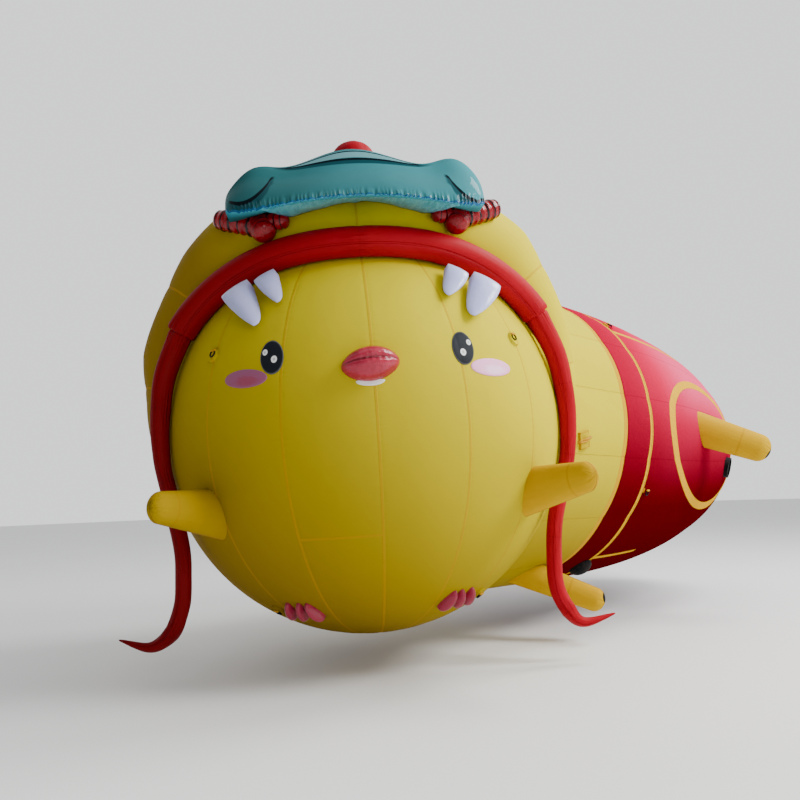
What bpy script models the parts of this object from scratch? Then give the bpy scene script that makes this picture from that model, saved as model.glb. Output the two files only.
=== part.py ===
"""Air-filled parade figure: a round chick that looks out of the mouth of a dragon hood.

Lengths are in metres and +Z is up. The long body is turned about +Y, with its tail at +Y, and the
origin is the centre of the round ball. The ball, its face, the hood and the whiskers are modelled
in a head frame, whose face looks along -Y, and an empty turns that frame against the body.
In the head frame a roll angle is measured round Y from straight up, towards +X.
"""
import math

import bmesh
import bpy
import numpy as np
from mathutils import Matrix, Vector

BALL_RADIUS = 1.80
FABRIC = 0.010
FORM_SCALE = 1.0007
CUT_GAP = 0.001
FORM_MARGIN = math.radians(1.0)
ROUND_STEPS = 32

HEAD_TURN = math.radians(50.0)
HEAD_NOD = math.radians(2.8)

BODY_DROOP = math.radians(1.15)
BODY_LIFT = 0.05
BODY_RADIUS = 1.61
BODY_SHOULDER_Y = 2.09
BODY_TAPER = 4.66
BODY_FULLNESS = 2.23
NECK_START_Y = 0.60
NECK_OPENING = 1.40
YELLOW_END_Y = 2.00
RED_BAND_END_Y = 2.50
PANEL_GAP = 0.0006

LIP_RADIUS = 0.125
LIP_HALF_ROLL = math.radians(60.0)
RIM_Y = -0.76
LIP_ARCH = 0.47
LIP_ARCH_POWER = 1.4
HOOD_HALF_ROLL = math.radians(100.0)
HOOD_SEAT = 0.022
HOOD_SETBACK = 0.19
WHISKER_TOP = 0.100
WHISKER_MIDDLE = 0.066
SLACK = 0.006

YELLOW = (0.83, 0.67, 0.03)
ORANGE_YELLOW = (0.85, 0.50, 0.02)
RED = (0.60, 0.02, 0.03)
BODY_RED = (0.72, 0.05, 0.09)
TEAL = (0.16, 0.42, 0.44)
CRIMSON = (0.52, 0.01, 0.02)
PINK = (0.72, 0.10, 0.16)
LILAC_WHITE = (0.78, 0.76, 0.86)
BLACK = (0.02, 0.02, 0.02)

UP = Vector((0.0, 0.0, 1.0))
HEAD_MATRIX = Matrix.Rotation(HEAD_NOD, 4, "X") @ Matrix.Rotation(HEAD_TURN, 4, "Z")

for old in list(bpy.data.objects):
    bpy.data.objects.remove(old)

parts = bpy.data.collections.new("chick_balloon")
cutters = bpy.data.collections.new("cutters")
bpy.context.scene.collection.children.link(parts)
bpy.context.scene.collection.children.link(cutters)

head_frame = bpy.data.objects.new("head_frame", None)
head_frame.matrix_world = HEAD_MATRIX
parts.objects.link(head_frame)
body_frame = bpy.data.objects.new("body_frame", None)
body_frame.matrix_world = Matrix.Translation((0, 0, BODY_LIFT)) @ Matrix.Rotation(-BODY_DROOP, 4, "X")
parts.objects.link(body_frame)


def material(name, colour, roughness, metallic=0.0):
    """One Principled BSDF for each finish."""
    made = bpy.data.materials.get(name)
    if made is None:
        made = bpy.data.materials.new(name)
        made.use_nodes = True
        shader = made.node_tree.nodes["Principled BSDF"]
        shader.inputs["Base Color"].default_value = (*colour, 1.0)
        shader.inputs["Roughness"].default_value = roughness
        shader.inputs["Metallic"].default_value = metallic
    return made


def yellow_cloth():
    return material("yellow_cloth", YELLOW, 0.60)


def red_cloth():
    return material("red_cloth", RED, 0.60)


def body_red_cloth():
    return material("body_red_cloth", BODY_RED, 0.55)


def leg_cloth():
    return material("leg_cloth", ORANGE_YELLOW, 0.60)


def glossy(name, colour):
    return material(name, colour, 0.25)


def add_part(name, mesh, finish, frame, local=None):
    """Makes one named piece in a frame, smooth shaded with its real edges kept sharp."""
    piece = bpy.data.objects.new(name, mesh)
    mesh.materials.clear()
    mesh.materials.append(finish)
    parts.objects.link(piece)
    piece.parent = frame
    piece.matrix_local = local or Matrix.Identity(4)
    mesh.shade_smooth()
    mesh.set_sharp_from_angle(angle=math.radians(50.0))
    return piece


def add_cutter(name, mesh, frame, local=None):
    cutter = bpy.data.objects.new(name, mesh)
    cutters.objects.link(cutter)
    cutter.parent = frame
    cutter.matrix_local = local or Matrix.Identity(4)
    cutter.display_type = "WIRE"
    cutter.hide_render = True
    return cutter


def cut(piece, *shapes):
    """Takes each shape out of the piece, in the order given."""
    for shape in shapes:
        modifier = piece.modifiers.new("cut_" + shape.name, "BOOLEAN")
        modifier.operation = "DIFFERENCE"
        modifier.solver = "EXACT"
        modifier.object = shape


def thicken(piece):
    """Gives a skin its fabric thickness on the inner side."""
    wall = piece.modifiers.new("fabric", "SOLIDIFY")
    wall.thickness = FABRIC
    wall.offset = -1.0


def mesh_of(build):
    """A mesh from one bmesh building function."""
    work = bmesh.new()
    build(work)
    mesh = bpy.data.meshes.new("shape")
    work.to_mesh(mesh)
    work.free()
    return mesh


def triangulate(mesh):
    """Splits each face by the same diagonal, so that a shape and its cutter match."""
    work = bmesh.new()
    work.from_mesh(mesh)
    bmesh.ops.triangulate(work, faces=work.faces, quad_method="FIXED")
    work.to_mesh(mesh)
    work.free()


def sphere_mesh(radius, around=ROUND_STEPS, rings=ROUND_STEPS // 2):
    return mesh_of(lambda work: bmesh.ops.create_uvsphere(
        work, u_segments=around, v_segments=rings, radius=radius))


def shaped_sphere(shape, around=16, rings=10):
    """A unit sphere whose points are moved by shape, a function of an n by 3 array."""
    mesh = sphere_mesh(1.0, around, rings)
    points = np.empty(len(mesh.vertices) * 3, dtype=np.float32)
    mesh.vertices.foreach_get("co", points)
    moved = shape(points.reshape(-1, 3).astype(float))
    mesh.vertices.foreach_set("co", moved.astype(np.float32).ravel())
    mesh.update()
    triangulate(mesh)
    return mesh


def turned_mesh(profile, steps=ROUND_STEPS):
    """A profile of (radius, height) points turned about Z: a skin, or a solid if it ends on Z."""
    def build(work):
        points = [work.verts.new((radius, 0.0, height)) for radius, height in profile]
        edges = [work.edges.new(pair) for pair in zip(points, points[1:])]
        bmesh.ops.spin(work, geom=points + edges, cent=(0, 0, 0), axis=(0, 0, 1),
                       angle=math.tau, steps=steps, use_merge=True)
        bmesh.ops.remove_doubles(work, verts=work.verts, dist=0.00005)
        bmesh.ops.recalc_face_normals(work, faces=work.faces)
    return mesh_of(build)


def grid_mesh(rows, tip=None):
    """A skin lofted through rows of points, closed to one tip point if it is given."""
    count = len(rows[0])
    vertices = [tuple(point) for row in rows for point in row]
    faces = [(r * count + c, r * count + c + 1, (r + 1) * count + c + 1, (r + 1) * count + c)
             for r in range(len(rows) - 1) for c in range(count - 1)]
    if tip is not None:
        vertices.append(tuple(tip))
        last = (len(rows) - 1) * count
        faces += [(last + c, last + c + 1, len(vertices) - 1) for c in range(count - 1)]
    mesh = bpy.data.meshes.new("loft")
    mesh.from_pydata(vertices, [], faces)
    triangulate(mesh)
    return mesh


def smooth_path(guides, count):
    """Evenly timed points on a Catmull-Rom curve through the guide points."""
    guides = np.array(guides, dtype=float)
    padded = np.vstack([2 * guides[0] - guides[1], guides, 2 * guides[-1] - guides[-2]])
    span = np.linspace(0, len(guides) - 1, count)
    index = np.minimum(span.astype(int), len(guides) - 2)
    t = (span - index)[:, None]
    before, start, end, after = (padded[index + k] for k in range(4))
    return 0.5 * (2 * start + (end - before) * t + (2 * before - 5 * start + 4 * end - after) * t ** 2
                  + (3 * start - before - 3 * end + after) * t ** 3)


def tube_mesh(points, radii, sides=10):
    """A closed tube along the points, from a curve whose bevel radius changes."""
    curve = bpy.data.curves.new("tube", "CURVE")
    curve.dimensions = "3D"
    curve.bevel_depth = 1.0
    curve.bevel_resolution = (sides - 4) // 2
    curve.use_fill_caps = True
    spline = curve.splines.new("POLY")
    spline.points.add(len(points) - 1)
    for spot, point, radius in zip(spline.points, points, radii):
        spot.co = (*point, 1.0)
        spot.radius = radius
    guide = bpy.data.objects.new("tube_guide", curve)
    cutters.objects.link(guide)
    bpy.context.view_layer.update()
    mesh = bpy.data.meshes.new_from_object(guide.evaluated_get(bpy.context.evaluated_depsgraph_get()))
    bpy.data.objects.remove(guide)
    work = bmesh.new()
    work.from_mesh(mesh)
    bmesh.ops.remove_doubles(work, verts=work.verts, dist=0.00005)
    bmesh.ops.recalc_face_normals(work, faces=work.faces)
    work.to_mesh(mesh)
    work.free()
    return mesh


def finger_mesh(length, radius, tip_radius, bend=0.0, rows=9, sides=12):
    """An air-filled finger along Z, whose radius runs from root to tip and rounds off there."""
    heights = np.linspace(0.0, 1.0, rows)
    rounding = 0.85 * tip_radius / length
    heights = np.append(heights[heights < 1.0 - rounding], 1.0 - rounding * (1 - np.sin(
        np.radians([0.0, 30.0, 55.0, 75.0]))))
    widths = radius + (tip_radius - radius) * heights
    past = np.clip((heights - (1.0 - rounding)) / rounding, 0.0, 1.0)
    widths = widths * np.sqrt(1.0 - past ** 2)
    points = np.stack([bend * heights ** 2, 0 * heights, heights * length], axis=1)
    return tube_mesh(points, widths, sides)


def aim(location, direction, wide, flat=1.0):
    """Places Z along direction and X near wide, with the Y radius scaled by flat."""
    z_axis = Vector(direction).normalized()
    x_axis = Vector(wide)
    x_axis = (x_axis - z_axis * x_axis.dot(z_axis)).normalized()
    y_axis = z_axis.cross(x_axis)
    turn = Matrix((x_axis, y_axis, z_axis)).transposed().to_4x4()
    return Matrix.Translation(Vector(location)) @ turn @ Matrix.Diagonal((1.0, flat, 1.0, 1.0))


def on_ball(side, azimuth, elevation, lift=0.0):
    """A point over the ball: azimuth in degrees from the face towards the side, then upwards."""
    azimuth, elevation = math.radians(azimuth), math.radians(elevation)
    reach = BALL_RADIUS + lift
    return Vector((side * reach * math.sin(azimuth) * math.cos(elevation),
                   -reach * math.cos(azimuth) * math.cos(elevation), reach * math.sin(elevation)))


def body_radius(y):
    """The body is a cylinder up to its shoulder, and past it a superellipse to the tail."""
    along = np.clip((np.asarray(y, dtype=float) - BODY_SHOULDER_Y) / BODY_TAPER, 0.0, 1.0)
    return BODY_RADIUS * (1.0 - along ** BODY_FULLNESS) ** (1.0 / BODY_FULLNESS)


def on_body(y, angle, lift=0.0):
    """A point over the body: y, then degrees round the axis from +X towards +Z."""
    radius = float(body_radius(y)) + lift
    angle = math.radians(angle)
    return Vector((radius * math.cos(angle), y, radius * math.sin(angle)))


def body_normal(y, angle):
    """The body's outward direction at a point."""
    step = 0.01
    slope = float(body_radius(y + step) - body_radius(y - step)) / (2 * step)
    angle = math.radians(angle)
    return Vector((math.cos(angle), -slope, math.sin(angle))).normalized()


# The body's sections are turned about Z and laid along +Y.
TURNED_TO_Y = Matrix.Rotation(math.radians(-90.0), 4, "X")


def body_profile(start, end, rows, lift=0.0):
    """Points (radius, y) of the body's outer skin, closer together towards the end."""
    y = start + (end - start) * np.sin(np.linspace(0.0, math.pi / 2, rows))
    return [(float(radius) + lift, float(place)) for radius, place in zip(body_radius(y), y)]


BODY_END_Y = BODY_SHOULDER_Y + BODY_TAPER

# The ball and the body in front of each other share one air space, through a round neck.
neck_cutter = add_cutter("neck_opening", mesh_of(lambda work: bmesh.ops.create_cone(
    work, cap_ends=True, segments=ROUND_STEPS, radius1=NECK_OPENING, radius2=NECK_OPENING,
    depth=3.0)), body_frame, Matrix.Translation((0, 1.80, 0)) @ TURNED_TO_Y)
ball_form = add_cutter("ball_form", sphere_mesh(BALL_RADIUS * FORM_SCALE), head_frame)


def rim_y(roll):
    """How far forward the mouth's rim lies: it arches out over the face."""
    arch = np.cos(np.clip(1.5 * np.abs(roll), 0.0, math.pi / 2)) ** LIP_ARCH_POWER
    return RIM_Y - LIP_ARCH * arch


# Columns: roll angle from straight up in degrees, the hood's height over the ball in metres on the
# left side, and on the right side.
HOOD_HEIGHTS = ((0, 0.50, 0.50), (25, 0.645, 0.645), (42, 0.56, 0.65), (55, 0.45, 0.51),
                (67, 0.375, 0.39), (79, 0.22, 0.28), (90, 0.13, 0.165), (100, 0.04, 0.04))


def hood_height(roll):
    rolls, left, right = zip(*HOOD_HEIGHTS)
    return np.interp(abs(math.degrees(roll)), rolls, left if roll < 0 else right)


def hood_point(roll, along, scale=1.0):
    """The hood's skin: along runs from 0 at the mouth's rim to 1 behind the ball."""
    edge = rim_y(roll) + HOOD_SETBACK
    first = np.arccos(-edge / (BALL_RADIUS + HOOD_SEAT))
    polar = first + (math.pi - first) * along
    swell = math.sin(math.pi * max(along, 0.0) ** 0.5) ** 0.8
    reach = scale * (BALL_RADIUS + HOOD_SEAT + (hood_height(roll) - HOOD_SEAT) * swell)
    return (reach * math.sin(polar) * math.sin(roll), -reach * math.cos(polar),
            reach * math.sin(polar) * math.cos(roll))


HOOD_COLUMNS = np.linspace(-HOOD_HALF_ROLL, HOOD_HALF_ROLL, 25)
HOOD_ROWS = 0.5 - 0.5 * np.cos(np.linspace(0.0, 0.94 * math.pi, 12))


def hood_skin(columns, rows_along, scale=1.0):
    rows = [[hood_point(roll, along, scale) for roll in columns] for along in rows_along]
    behind = (0.0, scale * (BALL_RADIUS + HOOD_SEAT), 0.0)
    return grid_mesh(rows, behind)


def hood_form_mesh():
    """The hood as a closed solid, with its open edge drawn in to the ball's centre."""
    margin = HOOD_HALF_ROLL + FORM_MARGIN
    columns = np.concatenate([[-margin], HOOD_COLUMNS, [margin]])
    mesh = hood_skin(columns, np.append(-0.01, HOOD_ROWS), FORM_SCALE)
    work = bmesh.new()
    work.from_mesh(mesh)
    edge = [line for line in work.edges if len(line.link_faces) == 1]
    centre = work.verts.new((0.0, 0.0, 0.0))
    for line in edge:
        work.faces.new((line.verts[0], line.verts[1], centre))
    bmesh.ops.recalc_face_normals(work, faces=work.faces)
    work.to_mesh(mesh)
    work.free()
    return mesh


hood_form = add_cutter("hood_form", hood_form_mesh(), head_frame)
body_form = add_cutter("body_form", turned_mesh(
    [(0.0, NECK_START_Y)] + body_profile(NECK_START_Y, BODY_END_Y - 0.002, 24, CUT_GAP)
    + [(0.0, BODY_END_Y)]), body_frame, TURNED_TO_Y)


def lip_point(roll):
    """The middle of the lip tube, which rests on the ball along the mouth's rim."""
    reach = BALL_RADIUS + LIP_RADIUS + 0.004
    y = float(rim_y(roll))
    across = math.sqrt(reach ** 2 - y ** 2)
    return (across * math.sin(roll), y, across * math.cos(roll))


LIP_ROLLS = np.linspace(-LIP_HALF_ROLL, LIP_HALF_ROLL, 21)
LIP_PATH = [lip_point(roll) for roll in LIP_ROLLS]
LIP_ENDS = [tuple(np.array(end) + CUT_GAP * (np.array(end) - inner)
                  / np.linalg.norm(np.array(end) - inner))
            for end, inner in ((LIP_PATH[0], LIP_PATH[1]), (LIP_PATH[-1], LIP_PATH[-2]))]
lip_form = add_cutter("lip_form", tube_mesh([LIP_ENDS[0], *LIP_PATH[1:-1], LIP_ENDS[1]],
                                            [LIP_RADIUS + CUT_GAP] * len(LIP_PATH), 12), head_frame)


def make_ball():
    ball = add_part("ball_envelope", sphere_mesh(BALL_RADIUS), yellow_cloth(), head_frame)
    thicken(ball)
    cut(ball, neck_cutter)


def make_hood():
    mesh = hood_skin(HOOD_COLUMNS, HOOD_ROWS)
    work = bmesh.new()
    work.from_mesh(mesh)
    bmesh.ops.recalc_face_normals(work, faces=work.faces)
    outward = sum(face.normal.dot(face.calc_center_median()) for face in work.faces)
    if outward < 0:
        bmesh.ops.reverse_faces(work, faces=work.faces)
    work.to_mesh(mesh)
    work.free()
    hood = add_part("hood_envelope", mesh, yellow_cloth(), head_frame)
    thicken(hood)
    cut(hood, neck_cutter)


def make_lip():
    add_part("lip_tube", tube_mesh(LIP_PATH, [LIP_RADIUS] * len(LIP_PATH), 12), red_cloth(),
             head_frame)


# Columns: side, x where it hangs, x and z at the bottom of the curl, x and z of the tip.
WHISKERS = ((-1, 1.59, 1.80, -1.62, 2.12, -1.60), (1, 1.54, 1.71, -1.72, 1.99, -1.74))
# Columns: roll in degrees, and how far the whisker is drawn in from the lip's line.
WHISKER_ROLLS = ((72, 0.990), (84, 0.975), (95, 0.974), (105, 0.974))


def make_whiskers():
    for side, hang_x, curl_x, curl_z, tip_x, tip_z in WHISKERS:
        first = Vector(lip_point(LIP_HALF_ROLL))
        onward = (first - Vector(lip_point(LIP_HALF_ROLL - 0.01))).normalized()
        guides = [first + onward * 0.0008]
        guides += [Vector(lip_point(math.radians(roll))) * drawn for roll, drawn in WHISKER_ROLLS]
        guides += [Vector((hang_x, RIM_Y, z)) for z in (-0.85, -1.15, -1.40)]
        guides += [Vector((curl_x, RIM_Y, curl_z)), Vector((tip_x, RIM_Y, tip_z))]
        points = smooth_path([(side * p.x, p.y, p.z) for p in guides], 34)
        along = np.linspace(0.0, 1.0, len(points))
        radii = WHISKER_MIDDLE + (WHISKER_TOP - WHISKER_MIDDLE) * np.clip(1 - along * 3, 0, 1)
        radii = radii * np.clip((1.01 - along) / 0.20, 0.0, 1.0) ** 0.7
        reach = np.linalg.norm(points, axis=1)
        points = points * (np.maximum(reach, BALL_RADIUS + radii + SLACK) / reach)[:, None]
        name = "whisker_left" if side < 0 else "whisker_right"
        whisker = add_part(name, tube_mesh(points, radii), red_cloth(), head_frame)
        cut(whisker, lip_form, body_form)


# Columns: name, the root's x, y, z on the right side, the tip's x, y, z, root radius.
FANGS = (("big", (0.955, -1.15, 1.235), (0.845, -1.47, 0.80), 0.150),
         ("small", (0.725, -1.20, 1.30), (0.665, -1.445, 0.975), 0.108))
FANG_TIP = 0.045
FANG_FLATNESS = 0.55


def make_fangs():
    for side, side_name in ((-1, "left"), (1, "right")):
        for name, root, tip, radius in FANGS:
            root = Vector((side * root[0], *root[1:]))
            tip = Vector((side * tip[0], *tip[1:]))
            local = aim(root, tip - root, (1, 0, 0), FANG_FLATNESS)
            mesh = finger_mesh((tip - root).length, radius, FANG_TIP)
            fang = add_part(f"fang_{side_name}_{name}", mesh,
                            glossy("fang_sheet", LILAC_WHITE), head_frame, local)
            cut(fang, lip_form, ball_form)


SNOUT_CENTRE = (0.0, -0.874, 2.047)
SNOUT_HALF_WIDTH = 1.05
SNOUT_HALF_DEPTH = 0.64
SNOUT_TOP = 0.26
SNOUT_BELLY = 0.05
SNOUT_RISE = 0.284
SNOUT_DROOP = 0.239
SNOUT_END_BUMP = 0.715
SNOUT_BUMP_PLACE = 0.856
SNOUT_BUMP_WIDTH = 0.217
SNOUT_RIDGE = 0.178
SNOUT_RIDGE_WIDTH = 0.389
SNOUT_BLUNTNESS = 0.30
SNOUT_SPREAD = 0.70


def snout_shape(unit, grow=0.0):
    """A long pillow across the hood: blunt ends that bulge and droop, and a ridge at its back.

    Its front edge lies lower than its back edge, and its underside is nearly flat. The cutter that
    trims other pieces to it is grown by a small gap all round.
    """
    x, y, z = unit[:, 0], unit[:, 1], unit[:, 2]
    ring = np.sqrt(np.maximum(1 - x ** 2, 1e-9))
    blunt = ring ** SNOUT_BLUNTNESS
    across = np.sign(x) * np.abs(x) ** SNOUT_SPREAD
    forward, upward = y / ring, z / ring
    bump = np.exp(-((np.abs(across) - SNOUT_BUMP_PLACE) / SNOUT_BUMP_WIDTH) ** 2)
    height = np.where(upward > 0, SNOUT_TOP * (1.0 + SNOUT_END_BUMP * bump), SNOUT_BELLY)
    ridge = SNOUT_RIDGE * np.exp(-(across / SNOUT_RIDGE_WIDTH) ** 2)
    ridge = ridge * np.maximum(upward, 0) * (0.5 + 0.5 * forward)
    height = height + grow
    moved_y = SNOUT_CENTRE[1] + (SNOUT_HALF_DEPTH + grow) * blunt * forward
    moved_z = SNOUT_CENTRE[2] + SNOUT_RISE * blunt * forward - SNOUT_DROOP * across ** 2
    moved_z = moved_z + height * blunt * upward + ridge
    return np.stack([(SNOUT_HALF_WIDTH + grow) * across, moved_y, moved_z], axis=1)


def snout_mesh(grow=0.0):
    """The pillow's mesh, with the sphere's poles laid on the X axis."""
    return shaped_sphere(lambda unit: snout_shape(unit[:, [2, 0, 1]], grow), 24, 22)


snout_form = add_cutter("snout_form", snout_mesh(2 * CUT_GAP), head_frame)


def make_snout():
    snout = add_part("snout", snout_mesh(), glossy("snout_sheet", TEAL), head_frame)
    cut(snout, hood_form)


KNOB_FOOT = (0.06, -0.20, 2.16)
KNOB_LENGTH = 0.60
KNOB_RADIUS = 0.20


def make_knob():
    mesh = finger_mesh(KNOB_LENGTH, KNOB_RADIUS, KNOB_RADIUS)
    knob = add_part("crown_knob", mesh, red_cloth(), head_frame, aim(KNOB_FOOT, UP, (1, 0, 0)))
    cut(knob, hood_form, snout_form)


# Columns: name, the root's x, y, z, the middle of the tip's x, y, z, radius.
CURLS = (("middle", (0.84, -0.88, 1.80), (0.80, -1.05, 1.675), 0.115),
         ("outer", (0.86, -0.98, 1.73), (1.13, -0.85, 1.83), 0.100),
         ("inner", (0.84, -1.00, 1.75), (0.66, -1.085, 1.73), 0.080))
CURL_SHIFT = 0.035


def make_curls():
    """Each side has three fat fingers of glossy sheet; the outer two are trimmed to the middle."""
    for side, side_name in ((-1, "left"), (1, "right")):
        trims = [hood_form, snout_form, lip_form]
        for name, root, tip, radius in CURLS:
            root = Vector((side * root[0] + CURL_SHIFT, *root[1:]))
            tip = Vector((side * tip[0] + CURL_SHIFT, *tip[1:]))
            local = aim(root, tip - root, UP)
            length = (tip - root).length + radius
            curl = add_part(f"curl_{side_name}_{name}", finger_mesh(length, radius, radius * 0.9),
                            glossy("curl_sheet", CRIMSON), head_frame, local)
            cut(curl, *trims)
            form = finger_mesh(length + 4 * CUT_GAP, radius + CUT_GAP, radius * 0.9 + CUT_GAP)
            trims.append(add_cutter(f"curl_form_{side_name}_{name}", form, head_frame,
                                    local @ Matrix.Translation((0, 0, -2 * CUT_GAP))))


BEAK_HALF = (0.215, 0.115, 0.16)


def beak_shape(unit):
    """A lens with pointed ends, as two sheets welded round their edge make."""
    x, y, z = unit[:, 0], unit[:, 1], unit[:, 2]
    pinch = np.maximum(1 - x ** 2, 1e-9) ** 0.15
    return np.stack([BEAK_HALF[0] * x, BEAK_HALF[1] * y * pinch, BEAK_HALF[2] * z * pinch], axis=1)


def make_beak():
    local = aim(on_ball(1, 0.0, 13.5), on_ball(1, 0.0, 13.5), (1, 0, 0))
    mesh = shaped_sphere(lambda unit: beak_shape(unit[:, [2, 0, 1]]), 14, 14)
    beak = add_part("beak", mesh, glossy("beak_sheet", PINK), head_frame, local)
    cut(beak, ball_form)


TOE_AZIMUTH = 34.5
TOE_ELEVATION = -52.0
TOE_SPREAD = 4.8
TOE_HALF = (0.036, 0.080, 0.045)


def make_toes():
    for side, side_name in ((-1, "left"), (1, "right")):
        for number, spread in enumerate((-1, 0, 1)):
            spot = on_ball(side, TOE_AZIMUTH + spread * TOE_SPREAD, TOE_ELEVATION)
            lean = Vector((side * spread * 0.20, -1.0, 0.0))
            local = aim(spot, spot, lean)
            mesh = shaped_sphere(lambda unit: unit * np.array(
                [TOE_HALF[1], TOE_HALF[0], TOE_HALF[2]]), 10, 8)
            toe = add_part(f"toe_{side_name}_{number + 1}", mesh, glossy("toe_sheet", PINK),
                           head_frame, local)
            cut(toe, ball_form)


WING_LENGTH = 0.86
WING_ROOT = 0.210
WING_TIP = 0.105
WING_INSIDE = 0.20
WING_END = (1.60, -1.68, -0.50)


def make_wings():
    for side, name in ((-1, "wing_left"), (1, "wing_right")):
        root = on_ball(side, 48.0, -19.0)
        tip = Vector((side * WING_END[0], *WING_END[1:]))
        outward = (tip - root).normalized()
        local = aim(root - outward * WING_INSIDE, outward, UP, 0.72)
        wing = add_part(name, finger_mesh(WING_LENGTH, WING_ROOT, WING_TIP), leg_cloth(),
                        head_frame, local)
        cut(wing, ball_form)


def make_body():
    """Three skins with one outline, sewn end to end; the first is trimmed to the ball and hood."""
    sections = (("body_yellow_section", NECK_START_Y, YELLOW_END_Y, 3, yellow_cloth()),
                ("body_red_band", YELLOW_END_Y + PANEL_GAP, RED_BAND_END_Y, 3, body_red_cloth()),
                ("body_red_rear", RED_BAND_END_Y + PANEL_GAP, BODY_END_Y, 13, body_red_cloth()))
    made = {}
    for name, start, end, rows, finish in sections:
        mesh = turned_mesh(body_profile(start, end, rows))
        middle = mesh.polygons[0]
        if middle.normal.dot(Vector((middle.center.x, middle.center.y, 0.0))) < 0:
            mesh.flip_normals()
        made[name] = add_part(name, mesh, finish, body_frame, TURNED_TO_Y)
        thicken(made[name])
    cut(made["body_yellow_section"], ball_form, hood_form)
    return made["body_red_rear"]


PORT_Y = 5.10
PORT_ANGLE = -14.5
PORT_RADIUS = 0.13
PORT_GAP = 0.0006
PORT_LIP = 0.020
PORT_RIM = 0.045
PORT_LID = 0.028
PORT_DEPTH = 0.09


def make_port(rear):
    """The blower's inlet: a round hole in the rear skin, and the rimmed cap that shuts it."""
    local = aim(on_body(PORT_Y, PORT_ANGLE), body_normal(PORT_Y, PORT_ANGLE), UP)
    hole = add_cutter("port_hole", mesh_of(lambda work: bmesh.ops.create_cone(
        work, cap_ends=True, segments=24, radius1=PORT_RADIUS + PORT_GAP,
        radius2=PORT_RADIUS + PORT_GAP, depth=0.4)), body_frame, local)
    cut(rear, hole)
    inner = PORT_RADIUS - PORT_LIP
    outline = [(0.0, PORT_LID), (inner, PORT_LID), (inner, PORT_RIM), (PORT_RADIUS, PORT_RIM),
               (PORT_RADIUS, -PORT_DEPTH), (0.0, -PORT_DEPTH)]
    add_part("inlet_cap", turned_mesh(outline, 24), material("inlet_rubber", BLACK, 0.7),
             body_frame, local)


# Columns: name, y and angle of the root, tip x, y, z, root radius, tip radius.
LEGS = (("hind_leg", 3.95, 2.5, 2.14, 4.22, -0.21, 0.205, 0.150),
        ("front_leg", 1.42, -61.5, 1.40, 1.75, -1.68, 0.150, 0.108))
LEG_INSIDE = 0.25


def make_legs():
    for name, y, angle, tip_x, tip_y, tip_z, radius, tip_radius in LEGS:
        for side, side_name in ((1, "right"), (-1, "left")):
            root = on_body(y, angle)
            root.x *= side
            tip = Vector((side * tip_x, tip_y, tip_z))
            outward = (tip - root).normalized()
            length = (tip - root).length + LEG_INSIDE
            local = aim(root - outward * LEG_INSIDE, outward, UP, 0.85)
            leg = add_part(f"{name}_{side_name}", finger_mesh(length, radius, tip_radius),
                           leg_cloth(), body_frame, local)
            cut(leg, body_form)


VENT_Y = 2.31
VENT_ANGLE = -60.5
VENT_RADIUS = 0.13


def make_vent():
    """The black cap of the belly's air valve."""
    place = on_body(VENT_Y, VENT_ANGLE)
    out = body_normal(VENT_Y, VENT_ANGLE)
    mesh = shaped_sphere(lambda unit: unit * np.array([VENT_RADIUS, VENT_RADIUS, 0.085]), 16, 10)
    vent = add_part("belly_valve", mesh, material("valve_rubber", BLACK, 0.5), body_frame,
                    aim(place, out, UP))
    cut(vent, body_form)


TAB_SIZE = (0.20, 0.16, 0.05)
TAB_Y = 1.20
TAB_ANGLE = -6.1


def make_tab():
    """A square of folded cloth on the flank, by which the skin is held while it fills."""
    local = aim(on_body(TAB_Y, TAB_ANGLE), body_normal(TAB_Y, TAB_ANGLE), UP)
    box = mesh_of(lambda work: bmesh.ops.create_cube(
        work, size=1.0, matrix=Matrix.Diagonal((*TAB_SIZE, 1.0))))
    tab = add_part("flank_tab", box, yellow_cloth(), body_frame, local)
    cut(tab, body_form)


TIE_RADIUS = 0.060
TIE_STEPS = 16


def tie_mesh():
    """A round patch with a flat top, and the ring that stands in it."""
    patch = [(0.0, 0.020), (TIE_RADIUS, 0.020), (TIE_RADIUS + 0.01, -0.06), (0.0, -0.06)]
    return turned_mesh(patch, TIE_STEPS)


# Columns: name, azimuth and elevation on the ball in degrees.
BALL_TIES = (("upper", 45.3, 20.7), ("lower", 50.0, -52.5))
# Columns: name, y and angle on the body.
BODY_TIES = (("top", 2.70, 48.7), ("flank", 2.52, -22.9))


def make_ties():
    for side, side_name in ((-1, "left"), (1, "right")):
        for name, azimuth, elevation in BALL_TIES:
            spot = on_ball(side, azimuth, elevation)
            tie = add_part(f"ball_tie_{name}_{side_name}", tie_mesh(), yellow_cloth(), head_frame,
                           aim(spot, spot, UP))
            cut(tie, ball_form)
        for name, y, angle in BODY_TIES:
            spot, out = on_body(y, angle), body_normal(y, angle)
            spot.x *= side
            out.x *= side
            tie = add_part(f"body_tie_{name}_{side_name}", tie_mesh(), body_red_cloth(), body_frame,
                           aim(spot, out, UP))
            cut(tie, body_form)


make_ball()
make_hood()
make_lip()
make_whiskers()
make_fangs()
make_snout()
make_knob()
make_curls()
make_beak()
make_toes()
make_wings()
make_port(make_body())
make_legs()
make_vent()
make_tab()
make_ties()
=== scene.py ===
"""Looks of an air-filled parade figure: a round chick that looks out of a dragon hood.

Lengths are in metres and +Z is up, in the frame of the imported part, whose origin is the centre of the
round ball. The head's pieces are worked out in a head frame, whose face looks along -Y, and the long
body's in a body frame along +Y. Both are turned into place in their meshes.
"""

import bmesh
import bpy
import numpy as np
from mathutils import Matrix, Vector


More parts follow.
